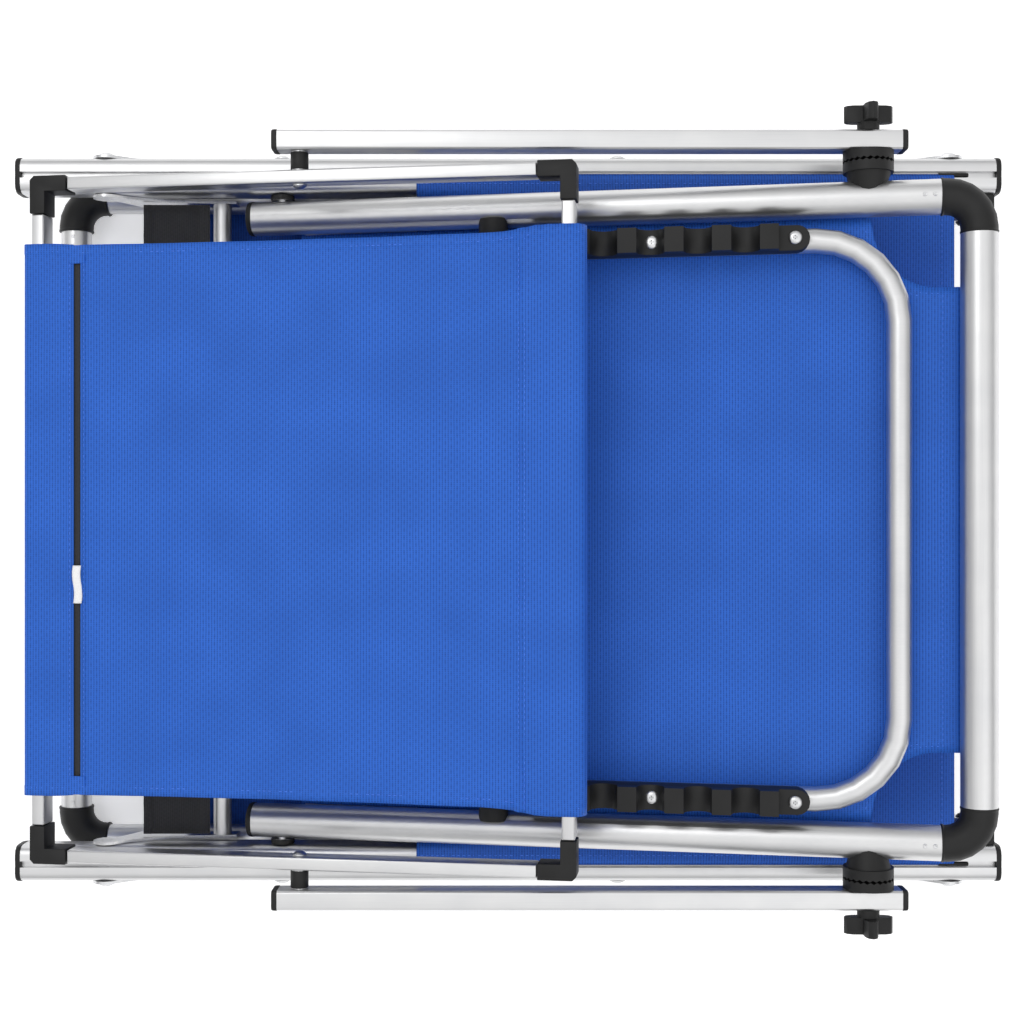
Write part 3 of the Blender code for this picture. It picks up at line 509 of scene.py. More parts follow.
def canopy_sleeve_path():
    """Section of the left sleeve, from its top edge at the slit round the bar and back."""
    under = -BAR_DEEP - 1.3 * MM
    path = [(x, SLEEVE_TOP) for x in spread(SLIT[0], LEFT_EDGE + LEFT_FOLD, 8)]
    path += fold(LEFT_EDGE, LEFT_FOLD, under, -1)
    path += [(LEFT_EDGE + 0.006, under), (-0.198, under), (-0.188, under + 0.004),
             (-0.180, SLEEVE_TOP - 0.006), (SLIT[0] - 0.0005, SLEEVE_TOP - 0.0024)]
    return path


def canopy_grid(path, gathered):
    """Sweep a section across the sunshade's width, with or without gathers at the seam."""
    grid = []
    for along, height in path:
        row = []
        for t in across_canopy():
            y = t * CANOPY_HALF_WIDTH * canopy_waist(along)
            hem = 0.5 * MM if abs(t) > 1.0 - HEM / CANOPY_HALF_WIDTH else 0.0
            pucker = canopy_pucker(along, t, height) if gathered else 0.0
            row.append((along, y, height + hem + pucker))
        grid.append(row)
    return grid


def canopy_waist(along):
    """The edge draws in a little between the bars and flares at the sleeves."""
    share = min(1.0, max(0.0, (along + BAR_REACH) / (2 * BAR_REACH)))
    flare = 0.019 * smoothstep((share - 0.86) / 0.10) + 0.006 * (1 - smoothstep((share - 0.03) / 0.06))
    return 0.974 + 0.011 * share - 0.006 * sin(pi * share) + flare


def canopy_pucker(along, t, height):
    """Small gathers where the seam of the right sleeve meets the hems."""
    if height < SLEEVE_TOP - 0.004:
        return 0.0
    groove = -0.0009 if abs(along - SEAM) < 0.0005 else 0.0
    near_seam = max(0.0, 1.0 - abs(along - 0.168) / 0.05)
    near_edge = max(0.0, (abs(t) - 0.72) / 0.28)
    gathers = 0.0016 * near_seam * near_edge * sin(along * 620 + t * 9)
    gathers += 0.0005 * near_edge * sin(along * 75)
    return groove + gathers + 0.0006 * near_seam * sin(t * 23 + along * 40) * sin(t * 7)


def build_canopy_cloth():
    """The panel and its two sleeves, with their stitching and the trim of the slit."""
    cloth("canopy_cloth", canopy_grid(canopy_panel_path(), True), CANOPY_BLUE,
          "canopy", CANOPY, node=["canopy_sheet"])
    cloth("canopy_left_sleeve", canopy_grid(canopy_sleeve_path(), False), CANOPY_BLUE,
          "canopy", CANOPY)
    top = SLEEVE_TOP + CLOTH / 2 + THREAD_LIFT
    lines = []
    for x in (SLIT[0] - 0.0030, SLIT[1] + 0.0028, SEAM - 0.0015, SEAM + 0.0030):
        half = CANOPY_HALF_WIDTH * canopy_waist(x)
        lines.append([(x, y, top) for y in spread(-half + 0.002, half - 0.002, 9)])
    inset = HEM - 1.8 * MM
    runs = ((-HEM_SEAM_REACH, SLIT[0] - 0.001), (SLIT[1] + 0.001, SEAM - 0.003),
            (SLEEVE_SEAM_START, HEM_SEAM_REACH))
    for side in (1, -1):
        for x_low, x_high in runs:
            line = []
            for x in spread(x_low, x_high, 21):
                half = CANOPY_HALF_WIDTH * canopy_waist(x) - inset
                line.append((x, side * half, top + 0.0003 - panel_sag(x)))
            lines.append(line)
    stitches("canopy_stitching", lines, "canopy", CANOPY)
    build_slit_trim()


def build_slit_trim():
    """The black tape under the slit, partly a real strip and partly painted shade for the dark gap, the tabs
    that close its ends, and a blank label sewn into it.
    """
    strip = bmesh.new()
    # Black tape under the slit: partly a real strip, partly painted shade standing in for the dark gap
    rounded_box(strip, (SLIT[0] - 6.0 * MM, -TAPE_HALF_LENGTH, SLEEVE_TOP - 3.4 * MM),
                (SLIT[1] + 6.0 * MM, TAPE_HALF_LENGTH, SLEEVE_TOP - 1.4 * MM), 0.6 * MM, 2)
    add_piece("canopy_hook_tape", strip, WEBBING, "canopy", CANOPY)
    tabs = bmesh.new()
    for side in (1, -1):
        near, far = sorted((side * TAB_START, side * TAB_END))
        rounded_box(tabs, (SLIT[0] - 3.5 * MM, near, SLEEVE_TOP - 0.4 * MM),
                    (SLIT[1] + 3.5 * MM, far, SLEEVE_TOP + 1.0 * MM), 0.4 * MM, 2)
    add_piece("canopy_slit_tabs", tabs, CANOPY_BLUE, "canopy", CANOPY)
    low, high = SLIT[0] - 0.0002, SLIT[1] + 0.0008
    label = []
    for x in spread(low, high, 9):
        arch = 0.0012 * sin(pi * (x - low) / (high - low))
        label.append([(x + 0.0007 * sin(y * 190), y, SLEEVE_TOP + 0.0004 + arch + 0.0003 * sin(y * 260))
                      for y in spread(*LABEL_SPAN, 14)])
    tag = add_piece("blank_label", surface(label), LABEL_WHITE, "canopy", CANOPY)
    tag.modifiers.new("cloth", "SOLIDIFY").thickness = 0.3 * MM


# -------------------------------- head sheet

HEAD_SHEET_W = -7.6 * MM         # below the head frame's plane
HEAD_INNER = 0.2302              # half width between the head tubes
TAB_HALF = 0.176                 # half width of the tab that reaches the cross tube
HEAD_START = 13.5 * MM
HEAD_LEAVE = 0.464               # where the corner cut-outs begin
HEAD_END = 0.5302
SEAM_INSET = 6.0 * MM            # from a cut edge to its first row of stitches
ROW_GAP = 3.0 * MM               # between the two rows


def cut_half_width(along, leave, end, full):
    """Half width of a sheet whose end corners are cut away in a concave sweep."""
    if along <= leave:
        return full
    share = min(1.0, (along - leave) / ((end - leave) * 0.76))
    return TAB_HALF + (full - TAB_HALF) * (1 - sqrt(max(0.0, 1 - (1 - share) ** 2)))


def head_grid():
    """The head sheet, sagging between its tubes, with slight ripples at its edges."""
    grid = []
    columns = spread(HEAD_START, HEAD_LEAVE, 40) + spread(HEAD_LEAVE + 0.002, HEAD_END, 22)
    for along in columns:
        half = cut_half_width(along, HEAD_LEAVE, HEAD_END, HEAD_INNER)
        row = []
        for t in spread(-1.0, 1.0, 45):
            sag = 1.2 * MM * (1 - t * t) * sin(pi * along / HEAD_END)
            ripple = 0.5 * MM * sin(t * 17 + along * 9) * max(0.0, abs(t) - 0.6)
            row.append((along, t * half, HEAD_SHEET_W - sag + ripple))
        grid.append(row)
    return grid


def sheet_stitching(name, body, place, leave, end, full, height, way=1.0):
    """Double row along the concave cut-outs, and one across the tab."""
    lines = []
    for side in (1, -1):
        for extra in (SEAM_INSET, SEAM_INSET + ROW_GAP):
            line = []
            for along in spread(leave - 0.004, end - 0.016, 26):
                half = cut_half_width(along + extra * 0.7, leave, end, full) - extra * 0.75
                line.append((way * along, side * half, height))
            lines.append(line)
    tab = TAB_HALF - 4.0 * MM
    lines.append([(way * (end - 0.013), y, height) for y in spread(-tab, tab, 9)])
    stitches(name, lines, body, place)


def build_head_cloth():
    """The head sheet and its stitching."""
    cloth("head_cloth", head_grid(), CANOPY_BLUE, "head_frame", HEAD, node=["head_sheet"])
    sheet_stitching("head_stitching", "head_frame", HEAD, HEAD_LEAVE, HEAD_END, HEAD_INNER,
                    HEAD_SHEET_W + CLOTH / 2 + THREAD_LIFT)


# -------------------------------- seat sheet, waist and foot

SEAT_START, SEAT_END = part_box("seat_sheet")[0][0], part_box("seat_sheet")[1][0]
HEAD_TUBE_RADIUS = 13.7 * MM     # with the cloth's clearance
STITCH_LEVEL = 0.7 * MM          # of the seat's stitches over the sheet's middle
FLAP_LEVEL = -10.8 * MM          # of the waist flap's free end, from the rails' axis
FLAP_HALF_WIDTH = 0.221
SIDE_SEAM_Y = RAIL_Y - 7.5 * MM
END_SEAM_INSET = 10.0 * MM
SEAT_TOP_HALF = 0.258            # half length of the end seams, clear of the rails' slots
KEDER_PROFILE = [(0, 0), (0.0014, 0.0), (0.0017, 0.0004), (0.0017, 0.0235), (0.0014, 0.0239), (0, 0.0239)]
KEDER_START = SEAT_END - 12.0 * MM
KEDER_DEPTH = RAIL_TOP - 2.6 * MM
FOOT_CUT_LENGTH = 86.0 * MM      # of the foot sheet's cut corners
BAND_THICKNESS = 1.6 * MM
BAND_HEM = 6.0 * MM


def seat_height(x, y):
    """Level on the rails, pressed down where the head tubes lie on it."""
    tube_under = (x - RAIL_AXIS.x) * sin(HEAD_TILT) / cos(HEAD_TILT) - HEAD_TUBE_RADIUS
    pressed = tube_under - 2.0 * MM
    level = RAIL_TOP + 0.9 * MM
    inside = smoothstep((RAIL_INNER + 0.004 - abs(y)) / 0.012)
    along = (x - SEAT_START) / (SEAT_END - SEAT_START)
    slack = 2.2 * MM * cos(y / RAIL_INNER * pi / 2) * sin(pi * along)
    height = level + inside * (min(level - 0.6 * MM, pressed) - level) - max(0.0, slack) * inside
    into_slot = smoothstep((abs(y) - (RAIL_Y - 0.003)) / 0.003)
    return height - into_slot * 2.8 * MM


def build_seat_cloth():
    """The seat sheet with its stitching, the waist flap below its head end, and the keder rods' ends."""
    edge = [RAIL_Y + step for step in (0.0004, -0.001, -0.0025, -0.005, -0.009)]
    edge += [RAIL_INNER + step for step in (0.003, 0.001, -0.001, -0.004, -0.008)]
    rows = [-y for y in edge] + spread(-0.245, 0.245, 35) + list(reversed(edge))
    columns = spread(SEAT_START, SEAT_END, 64)
    grid = [[(x, y, seat_height(x, y)) for y in rows] for x in columns]
    cloth("seat_cloth", grid, SHADED_SEAT_BLUE, "seat_frame", BASE, node=["seat_sheet"])
    lines = []
    for side in (1, -1):
        y = side * SIDE_SEAM_Y
        lines.append([(x, y, seat_height(x, y) + STITCH_LEVEL)
                      for x in spread(SEAT_START + 0.003, SEAT_END - 0.003, 40)])
    for x in (SEAT_START + END_SEAM_INSET, SEAT_END - END_SEAM_INSET):
        lines.append([(x, y, seat_height(x, y) + STITCH_LEVEL)
                      for y in spread(-SEAT_TOP_HALF, SEAT_TOP_HALF, 40)])
    stitches("seat_stitching", lines, "seat_frame", BASE)
    flap_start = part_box("waist_flap")[0][0]
    start_height = seat_height(SEAT_START, 0.0)
    flap = []
    for x in spread(flap_start, SEAT_START - 0.5 * MM, 18):
        share = (SEAT_START - x) / (SEAT_START - flap_start)
        height = start_height + share * (FLAP_LEVEL - start_height) - 1.2 * MM * sin(pi * share)
        flap.append([(x, y, height) for y in spread(-FLAP_HALF_WIDTH, FLAP_HALF_WIDTH, 21)])
    cloth("waist_cloth", flap, SHADED_SEAT_BLUE, "seat_frame", BASE, node=["waist_flap"])
    keder = bmesh.new()
    for side in (1, -1):
        place = pointing((KEDER_START, side * RAIL_Y, KEDER_DEPTH), (1, 0, 0))
        turned(keder, KEDER_PROFILE, place, 16)
    add_piece("keder_rod_ends", keder, PLASTIC, "seat_frame", BASE)


def build_foot_cloth():
    """The foot sheet, its cut corners at the head end while it is folded under the seat."""
    low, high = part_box("foot_sheet")
    height = (low[2] + high[2]) / 2
    start, end = -high[0], -low[0]
    leave = end - FOOT_CUT_LENGTH
    half = high[1] - 0.0004
    grid = []
    for along in spread(start, leave, 48) + spread(leave + 0.002, end, 24):
        width = cut_half_width(along, leave, end, half)
        grid.append([(-along, t * width, height - 0.6 * MM * (1 - t * t)) for t in spread(-1, 1, 35)])
    cloth("foot_cloth", grid, SHADED_SEAT_BLUE, "foot_frame", IDENTITY, node=["foot_sheet"])
    sheet_stitching("foot_stitching", "foot_frame", IDENTITY, leave, end, half,
                    height + CLOTH / 2 + THREAD_LIFT, way=-1.0)


def build_rest_band():
    """Black webbing across the frame, hemmed on both edges, sagging between its ends."""
    low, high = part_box("rest_band")
    level = (low[2] + high[2]) / 2
    edge = (0.0, 0.0008, BAND_HEM, BAND_HEM + 0.0006)
    columns = [low[0] + step for step in edge]
    columns += spread(low[0] + 0.010, high[0] - 0.010, 9)
    columns += [high[0] - step for step in reversed(edge)]
    grid = []
    for x in columns:
        hemmed = x < low[0] + BAND_HEM + 0.0002 or x > high[0] - BAND_HEM - 0.0002
        hem = 0.6 * MM if hemmed else 0.0
        row = []
        for y in spread(low[1], high[1], 61):
            rise, fall = smoothstep((abs(y) - 0.222) / 0.004), smoothstep((abs(y) - 0.230) / 0.004)
            end_fold = 0.9 * MM * rise * (1 - fall)
            row.append((x, y, level + hem + end_fold - 1.0 * MM * cos(y / high[1] * pi / 2)))
        grid.append(row)
    piece = cloth("rest_band_cloth", grid, WEBBING, "seat_frame", IDENTITY, node=["rest_band"],
                  thick=BAND_THICKNESS)
    lines = [[(x, y, level + 0.0012) for y in spread(low[1] + 0.004, high[1] - 0.004, 15)]
             for x in (low[0] + 0.0045, high[0] - 0.0045)]
    stitches("rest_band_stitching", lines, "seat_frame", IDENTITY, BLACK_THREAD)


# -------------------------------- trim and fasteners

def superellipse(width, height, power):
    """Outline of a box with round corners, rounder at a lower power."""
    points = []
    for i in range(CAP_SIDES):
        turn = 2 * pi * i / CAP_SIDES
        x = abs(cos(turn)) ** (2 / power) * (1 if cos(turn) >= 0 else -1)
        y = abs(sin(turn)) ** (2 / power) * (1 if sin(turn) >= 0 else -1)
        points.append((width / 2 * x, height / 2 * y))
    return points


HEAD_TUBE_Y = 0.243              # from the middle to a head tube's axis
HEAD_CORNER_X = 0.543            # where the head tubes' lines cross the cross tube's
FOOT_TUBE_Y = 0.269              # the same for a foot tube
FOOT_CORNER = middle("foot_cross_tube")
FOOT_PLACE = Matrix.Translation((0, 0, FOOT_CORNER.z))
CAP_SKIRT = 1.6 * MM
CAP_DOME = 2.6 * MM
CAP_BACK = 2.2 * MM              # from a tube's end back to where its cap's dome starts
CAP_SIDES = 40
RAIL_CAP = (0.0294, 0.0288, 5.0)           # width, height and corner power of each kind of cap
ARM_CAP = (0.0157, 0.0207, 8.0)
HEAD_CAP = (0.0276, 0.0276, 2.0)
HEAD_TAIL = 25.0 * MM            # from the head hinge to the tails' caps


def close_rings(shape, rings):
    """Faces between rings of points, and over the first and the last."""
    for lower, upper in zip(rings, rings[1:]):
        for i in range(len(lower)):
            j = (i + 1) % len(lower)
            shape.faces.new((lower[i], lower[j], upper[j], upper[i]))
    shape.faces.new(rings[-1])
    shape.faces.new(list(reversed(rings[0])))


def end_cap(shape, place, width, height, power):
    """A pressed-on plastic cap: a short skirt and a low dome, Z outwards."""
    levels = [(1.0, -CAP_SKIRT), (1.0, -0.0004)]
    levels += [(1.0 - 0.16 * (step / 5) ** 2.2, CAP_DOME * sin(pi / 2 * step / 5)) for step in range(1, 6)]
    levels += [(0.5, CAP_DOME * 1.06)]
    rings = []
    for scale, level in levels:
        rings.append([shape.verts.new(place @ Vector((x * scale, y * scale, level)))
                      for x, y in superellipse(width, height, power)])
    close_rings(shape, rings)


def facing(place, outward, across):
    """Matrix at place with Z outward and X along across."""
    z, x = Vector(outward), Vector(across)
    y = z.cross(x)
    turn = Matrix((x, y, z)).transposed().to_4x4()
    return Matrix.Translation(place) @ turn


def tube_caps(node, body, size):
    """Caps on both ends of a tube that runs along X."""
    low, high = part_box(node)
    centre = middle(node)
    shape = bmesh.new()
    for way, x in ((1, high[0]), (-1, low[0])):
        place = facing((x - way * CAP_BACK, centre.y, centre.z), (way, 0, 0), (0, 1, 0))
        end_cap(shape, place, *size)
    add_piece(node.replace("_tube", "") + "_caps", shape, PLASTIC, body)


def build_end_caps():
    """Plastic caps on the rails, the sunshade's arms and the tails of the head tubes."""
    for word in ("left", "right"):
        tube_caps(f"rail_{word}", "seat_frame", RAIL_CAP)
        tube_caps(f"arm_{word}_tube", f"arm_{word}", ARM_CAP)
    shape = bmesh.new()
    for side in (1, -1):
        place = HEAD @ pointing((-HEAD_TAIL, side * HEAD_TUBE_Y, 0), (-1, 0, 0))
        end_cap(shape, place, *HEAD_CAP)
    add_piece("head_tube_caps", shape, PLASTIC, "head_frame")


ELBOW_REACH = 27.2 * MM          # from the tubes' crossing to the middle of an elbow's lip
PUNCH_GAPS = (6.0 * MM, 13.5 * MM)         # from the lip to each punch mark


def elbow_ribs(name, body, place, corner_x, corner_y, way, inside):
    """Raised lips at the mouths of a pair of corner elbows; way is the elbows' side along X."""
    shape = bmesh.new()
    lip = [(0.0140, -0.0009), (0.0143, -0.0005), (0.0143, 0.0005), (0.0140, 0.0009)]
    for side in (1, -1):
        mouths = (((corner_x - way * ELBOW_REACH, side * corner_y, 0), (-way, 0, 0)),
                  ((corner_x, side * (corner_y - ELBOW_REACH), 0), (0, -side, 0)))
        for mouth, direction in mouths:
            profile = [(inside, -0.0009)] + lip + [(inside, 0.0009)]
            turned(shape, profile, place @ pointing(mouth, direction), 40)
    add_piece(name, shape, PLASTIC, body)


def punch_marks(name, body, place, corner_x, corner_y, radius, way):
    """Pairs of small round punch marks that lock each tube on its elbow."""
    shape = bmesh.new()
    rim = [(0.0003, -0.0002), (0.0007, 0.0000), (0.0011, 0.00022), (0.0014, 0.00018), (0.0017, -0.0003)]
    for side in (1, -1):
        for gap in PUNCH_GAPS:
            reach = ELBOW_REACH + gap
            along_tube = (corner_x - way * reach, side * corner_y, radius)
            across_tube = (corner_x, side * (corner_y - reach), radius)
            for spot in (along_tube, across_tube):
                turned(shape, rim, place @ Matrix.Translation(spot), 14)
    add_piece(name, shape, STEEL, body)


SCREW_RADIUS = 5.1 * MM


def pan_screw(shape, place):
    """A pan head with a cross recess."""
    profile = [(SCREW_RADIUS * share, height) for share, height in (
        (0.2, -0.001), (1.0, -0.0006), (1.0, 0.0008), (0.93, 0.0016),
        (0.75, 0.0022), (0.45, 0.0026), (0.30, 0.0026), (0.16, 0.0012), (0, 0.0010))]
    turned(shape, profile, place, 28)
    for turn in (pi / 4, 3 * pi / 4):
        bar = place @ Matrix.Translation((0, 0, 0.00235)) @ Matrix.Rotation(turn, 4, "Z")
        box = bar @ Matrix.Diagonal((SCREW_RADIUS * 0.95, SCREW_RADIUS * 0.17, 0.0008, 1.0))
        bmesh.ops.create_cube(shape, size=1.0, matrix=box)


RACK_SCREWS = ((0.1252, 0.0136), (0.2330, 0.0171))   # along the prop from its pivot, and height
RACK_Y = 0.2115
PROP_BUSH = (0.174, 0.22115, 0.0065)                 # in the head frame
BUSH_HALF_WIDTH = 11.6 * MM
BUSH_HALF_HEIGHT = 8.7 * MM
BUSH_SIDES = 36
HINGE_BUSH_Y = 0.2569
CANOPY_BUSH_Y = 0.2645
RIVET_DROP = 28.0 * MM           # below the leg's pivot
RIVETS = (("rear_leg", "rear_outer_plate_", 0.084), ("front_leg", "front_plate_", -0.066))


def build_rack_screws():
    """Two screws in each notched rack."""
    prop_place = Matrix.Translation(joint_position("prop_swing")) @ Matrix.Rotation(-HEAD_TILT, 4, "Y")
    screws = bmesh.new()
    for side in (1, -1):
        for along, height in RACK_SCREWS:
            pan_screw(screws, prop_place @ Matrix.Translation((along, side * RACK_Y, height)))
    add_piece("rack_screws", screws, STEEL, "prop")


def build_prop_bushes():
    """Black oval bushes between the head tubes and the prop's pivots."""
    bushes = bmesh.new()
    along, across, height = PROP_BUSH
    turns = [2 * pi * i / BUSH_SIDES for i in range(BUSH_SIDES)]
    for side in (1, -1):
        place = HEAD @ facing((along, side * across, height), (0, side, 0), (1, 0, 0))
        rings = []
        for share, level in ((0.965, 0.0000), (1.0, 0.0007), (1.0, 0.0146), (0.96, 0.0148)):
            wide, high = BUSH_HALF_WIDTH * share, BUSH_HALF_HEIGHT * share
            rings.append([bushes.verts.new(place @ Vector((wide * cos(turn), high * sin(turn), level)))
                          for turn in turns])
        close_rings(bushes, rings)
    add_piece("prop_bushes", bushes, PLASTIC, "head_frame")


def build_pivot_bushes():
    """Round spacers at the head frame's hinge and at the sunshade's pivots."""
    hinge = bmesh.new()
    profile = [(0.0045, 0.0), (0.0092, 0.0), (0.0095, 0.0006),
               (0.0095, 0.0034), (0.0092, 0.0040), (0.0045, 0.0040)]
    for side in (1, -1):
        turned(hinge, profile, pointing((RAIL_AXIS.x, side * HINGE_BUSH_Y, RAIL_AXIS.z), (0, side, 0)), 32)
    add_piece("head_hinge_bushes", hinge, PLASTIC, "seat_frame")
    pivot = joint_position("canopy_tilt")
    profile = [(0.0035, 0.0), (0.0062, 0.0), (0.0068, 0.0008),
               (0.0068, 0.0132), (0.0062, 0.0140), (0.0035, 0.0140)]
    for word, side in (("left", 1), ("right", -1)):
        sleeve = bmesh.new()
        turned(sleeve, profile, pointing((pivot.x, side * CANOPY_BUSH_Y, pivot.z), (0, side, 0)), 32)
        add_piece(f"canopy_bush_{word}", sleeve, PLASTIC, f"arm_{word}")


def build_rivets():
    """Rivets through the legs' outer plates."""
    profile = [(0.0056, 0.0), (0.0056, 0.0006), (0.0047, 0.0014), (0.0026, 0.0021), (0, 0.0023)]
    for body, plate, along in RIVETS:
        rivets = bmesh.new()
        joint = joint_position(body + "_fold")
        for word, side in (("left", 1), ("right", -1)):
            low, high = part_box(plate + word)
            face = high[1] if side > 0 else low[1]
            place = pointing((joint.x + along, face, joint.z - RIVET_DROP), (0, side, 0))
            turned(rivets, profile, place, 24)
        add_piece(body + "_rivets", rivets, STEEL, body)


FOOT_SLEEVE = 46.0 * MM          # length of a rubber sleeve
FOOT_SLEEVE_Y = 0.150            # where the sleeves begin, from the middle
RIB_PITCH = 4.0 * MM
RIB_DEPTH = 0.3 * MM


def build_feet():
    """Rubber sleeves on the three ground bars."""
    for body, radius, thick in (("rear_leg", 0.011, 0.0012), ("front_leg", 0.011, 0.0012),
                                ("foot_leg", 0.0092, 0.0008)):
        low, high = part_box(body + "_tube")
        centre = middle(body + "_tube")
        x = low[0] + radius if body == "front_leg" else high[0] - radius
        shape = bmesh.new()
        for side in (1, -1):
            wall = radius + thick
            profile = [(radius, 0.0), (wall - 0.0004, 0.0), (wall, 0.0006)]
            profile += [(wall - (RIB_DEPTH if i % 2 == 0 else 0.0), i * RIB_PITCH) for i in range(1, 11)]
            profile += [(wall, FOOT_SLEEVE - 0.6 * MM), (wall - 0.0004, FOOT_SLEEVE), (radius, FOOT_SLEEVE)]
            turned(shape, profile, pointing((x, side * FOOT_SLEEVE_Y, centre.z), (0, side, 0)), 32)
        add_piece(body + "_feet", shape, RUBBER, body)


# -------------------------------- finishes of the carried-over parts

SHARP_EDGE = radians(35)         # edges that stay sharp when a part is shaded smooth
BEVEL_EDGE = radians(38)         # edges that get a bevel
SAME_POINT = 0.02 * MM
SOFTENED = ("canopy_corner", "canopy_end_bar", "canopy_side_bar", "arm_left_tube", "arm_right_tube",
            "rack_", "knob_")
TUBES_ALONG_Y = ("head_cross_tube", "foot_cross_tube", "seat_cross_tube", "rear_cross_bar", "canopy_end_bar")
CAPPED_BOTH_ENDS = ("rail_left", "rail_right", "arm_left_tube", "arm_right_tube")


def smooth_shading():
    """Node group that shades a faceted part smooth and keeps its sharp edges."""
    tree = bpy.data.node_groups.new("smooth_by_angle", "GeometryNodeTree")
    tree.interface.new_socket("Geometry", in_out="INPUT", socket_type="NodeSocketGeometry")
    tree.interface.new_socket("Geometry", in_out="OUTPUT", socket_type="NodeSocketGeometry")
    start = tree.nodes.new("NodeGroupInput")
    weld = tree.nodes.new("GeometryNodeMergeByDistance")
    weld.inputs["Distance"].default_value = SAME_POINT
    plain = tree.nodes.new("GeometryNodeRemoveAttribute")
    plain.inputs["Name"].default_value = "custom_normal"
    smooth = tree.nodes.new("GeometryNodeSetShadeSmooth")
    sharp = tree.nodes.new("GeometryNodeSetShadeSmooth")
    sharp.domain = "EDGE"
    sharp.inputs["Shade Smooth"].default_value = False
    angle = tree.nodes.new("GeometryNodeInputMeshEdgeAngle")
    compare = tree.nodes.new("FunctionNodeCompare")
    compare.operation = "GREATER_THAN"
    compare.inputs["B"].default_value = SHARP_EDGE
    end = tree.nodes.new("NodeGroupOutput")
    flow = start.outputs[0]
    for node in (weld, plain, smooth, sharp):
        tree.links.new(flow, node.inputs["Geometry"])
        flow = node.outputs["Geometry"]
    tree.links.new(angle.outputs["Unsigned Angle"], compare.inputs["A"])
    tree.links.new(compare.outputs["Result"], sharp.inputs["Selection"])
    tree.links.new(flow, end.inputs[0])
    return tree


def soften_edges(node, width):
    """Round the sharp edges of a faceted part."""
    weld = node.modifiers.new("weld", "WELD")
    weld.merge_threshold = SAME_POINT
    bevel = node.modifiers.new("bevel", "BEVEL")
    bevel.width = width
    bevel.segments = 2
    bevel.limit_method = "ANGLE"
    bevel.angle_limit = BEVEL_EDGE


def finish_for(name, kind):
    """The material for a CAD node, by its name and the record's material slot."""
    if name in CAPPED_BOTH_ENDS:
        return capped_aluminium(name)
    if name.startswith("head_tube"):
        return capped_aluminium(name, right=-CAP)
    if name.startswith("foot_tube"):
        return capped_aluminium(name, left=-CAP)
    if kind == "aluminium":
        return ALUMINIUM_Y if name.startswith(TUBES_ALONG_Y) else ALUMINIUM_X
    return STEEL if kind == "steel" else PLASTIC


def finish_frame():
    """Give every shown CAD node its procedural finish and smooth shading."""
    shading = smooth_shading()
    slots = {entry["node"]: entry["material_slot"] for entry in frame["record"]["subparts"]}
    for name, node in frame["nodes"].items():
        node.data.materials.clear()
        node.data.materials.append(finish_for(name, slots[name]))
        if name.startswith(SOFTENED):
            soften_edges(node, 0.7 * MM)
        node.modifiers.new("smooth", "NODES").node_group = shading


# -------------------------------- camera, floor and light

FLOOR_REACH = 60.0
FLOOR_DROP = 0.5 * MM            # below the ground that the lounger stands on
FLOOR_GLOW = 0.42
HORIZON = (0.90, 0.90, 0.90, 1)
LOW_SKY = (0.35, 0.35, 0.355, 1)
ZENITH = (1, 1, 1, 1)
SKY_STRENGTH = 1.2
LIGHTS = (("key", (-0.8, 0.9, 2.1), 0.9, 6), ("fill", (1.2, -0.9, 1.9), 1.8, 3))   # place, size, watts
LIGHT_TARGET = (0, 0, 0.05)
LENS = 55.3                      # millimetres on a 36 mm sensor
CAMERA_OFFSET = (0.003, 0.006)
CAMERA_HEIGHT = 1.270            # above the rails' axis, looking straight down


def build_floor():
    """A pale floor, wide enough to meet the sky near the horizon."""
    shape = bmesh.new()
    bmesh.ops.create_grid(shape, x_segments=1, y_segments=1, size=FLOOR_REACH)
    mesh = bpy.data.meshes.new("studio_floor")
    shape.to_mesh(mesh)
    shape.free()
    nodes = Nodes("pale_floor")
    nodes.link(nodes.ramp(nodes.noise(0.4), 0.3, 0.7, ((0.90, 0.90, 0.90), (0.93, 0.93, 0.93))),
               nodes.shader.inputs["Base Color"])
    nodes.set(Roughness=0.9, Emission_Strength=FLOOR_GLOW, Emission_Color=(1, 1, 1, 1))
    mesh.materials.append(nodes.material)
    floor = bpy.data.objects.new("studio_floor", mesh)
    floor.location.z = -FLOOR_DROP
    bpy.context.scene.collection.objects.link(floor)


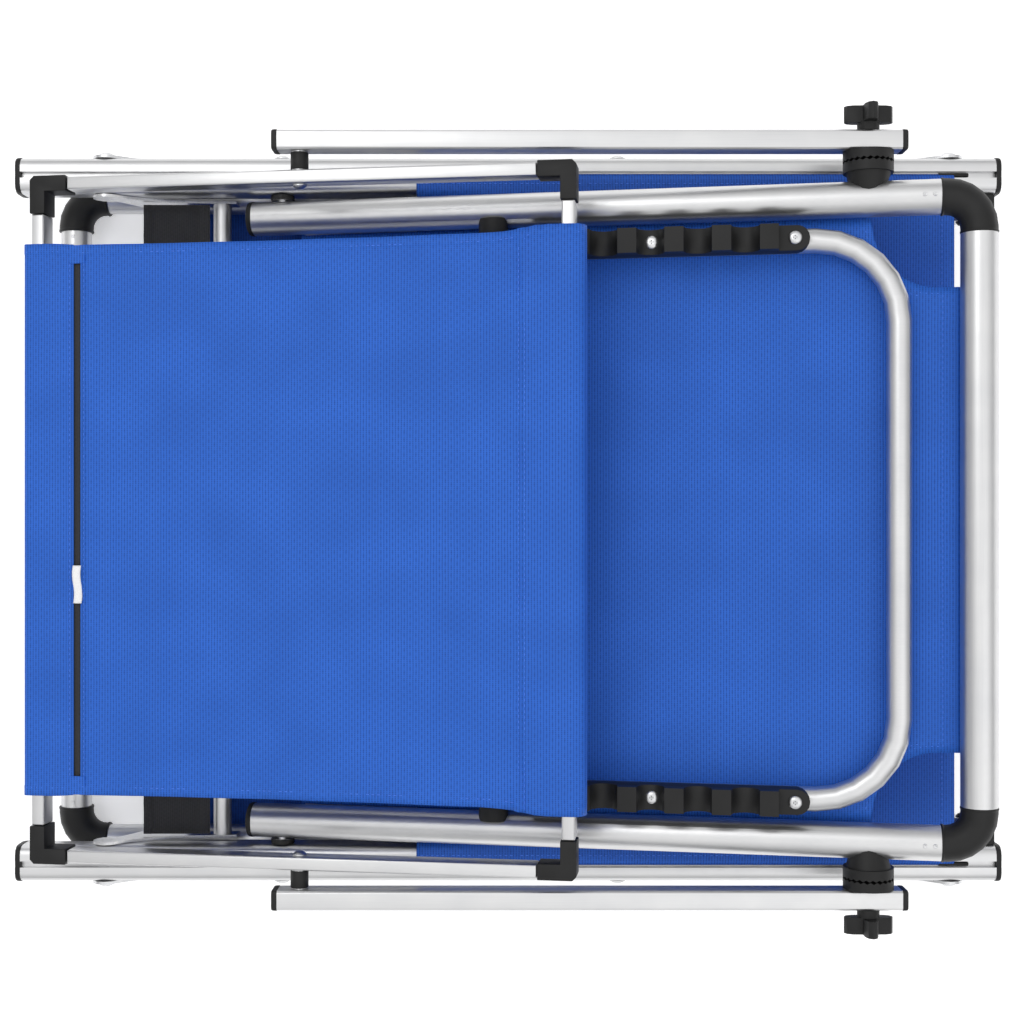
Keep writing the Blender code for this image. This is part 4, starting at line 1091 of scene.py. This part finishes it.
def build_sky():
    """White at the horizon, grey just above it so that metal shows dark lines, white overhead."""
    world = bpy.data.worlds.new("studio")
    world.use_nodes = True
    tree = world.node_tree
    background = tree.nodes["Background"]
    height = tree.nodes.new("ShaderNodeSeparateXYZ")
    tree.links.new(tree.nodes.new("ShaderNodeTexCoord").outputs["Generated"], height.inputs["Vector"])
    sky = tree.nodes.new("ShaderNodeValToRGB")
    stops = sky.color_ramp.elements
    stops[0].position, stops[0].color = 0.10, HORIZON
    stops[1].position, stops[1].color = 0.95, ZENITH
    stops.new(0.20).color = LOW_SKY
    tree.links.new(height.outputs["Z"], sky.inputs["Fac"])
    tree.links.new(sky.outputs["Color"], background.inputs["Color"])
    background.inputs["Strength"].default_value = SKY_STRENGTH
    bpy.context.scene.world = world


def build_lights():
    """Two soft area lights above the lounger."""
    for name, place, size, power in LIGHTS:
        light = bpy.data.lights.new(name, "AREA")
        light.size = size
        light.energy = power
        lamp = bpy.data.objects.new(name, light)
        lamp.location = place
        lamp.rotation_euler = (Vector(LIGHT_TARGET) - Vector(place)).to_track_quat("-Z", "Y").to_euler()
        bpy.context.scene.collection.objects.link(lamp)


def build_camera():
    """A camera straight above the lounger."""
    scene = bpy.context.scene
    scene.view_settings.view_transform = "Standard"
    camera = bpy.data.cameras.new("camera")
    camera.lens = LENS
    camera.sensor_width = 36.0
    holder = bpy.data.objects.new("camera", camera)
    holder.location = (*CAMERA_OFFSET, RAIL_AXIS.z + CAMERA_HEIGHT)
    scene.collection.objects.link(holder)
    scene.camera = holder


finish_frame()
build_canopy_cloth()
build_head_cloth()
build_seat_cloth()
build_foot_cloth()
build_rest_band()
build_end_caps()
elbow_ribs("head_elbow_lips", "head_frame", HEAD, HEAD_CORNER_X, HEAD_TUBE_Y, 1, 13.0 * MM)
elbow_ribs("foot_elbow_lips", "foot_frame", FOOT_PLACE, FOOT_CORNER.x, FOOT_TUBE_Y, -1, 12.0 * MM)
punch_marks("head_punch_marks", "head_frame", HEAD, HEAD_CORNER_X, HEAD_TUBE_Y, 13.6 * MM, 1)
punch_marks("foot_punch_marks", "foot_frame", FOOT_PLACE, FOOT_CORNER.x, FOOT_TUBE_Y, 12.5 * MM, -1)
build_rack_screws()
build_prop_bushes()
build_pivot_bushes()
build_rivets()
build_feet()
build_floor()
build_sky()
build_lights()
build_camera()
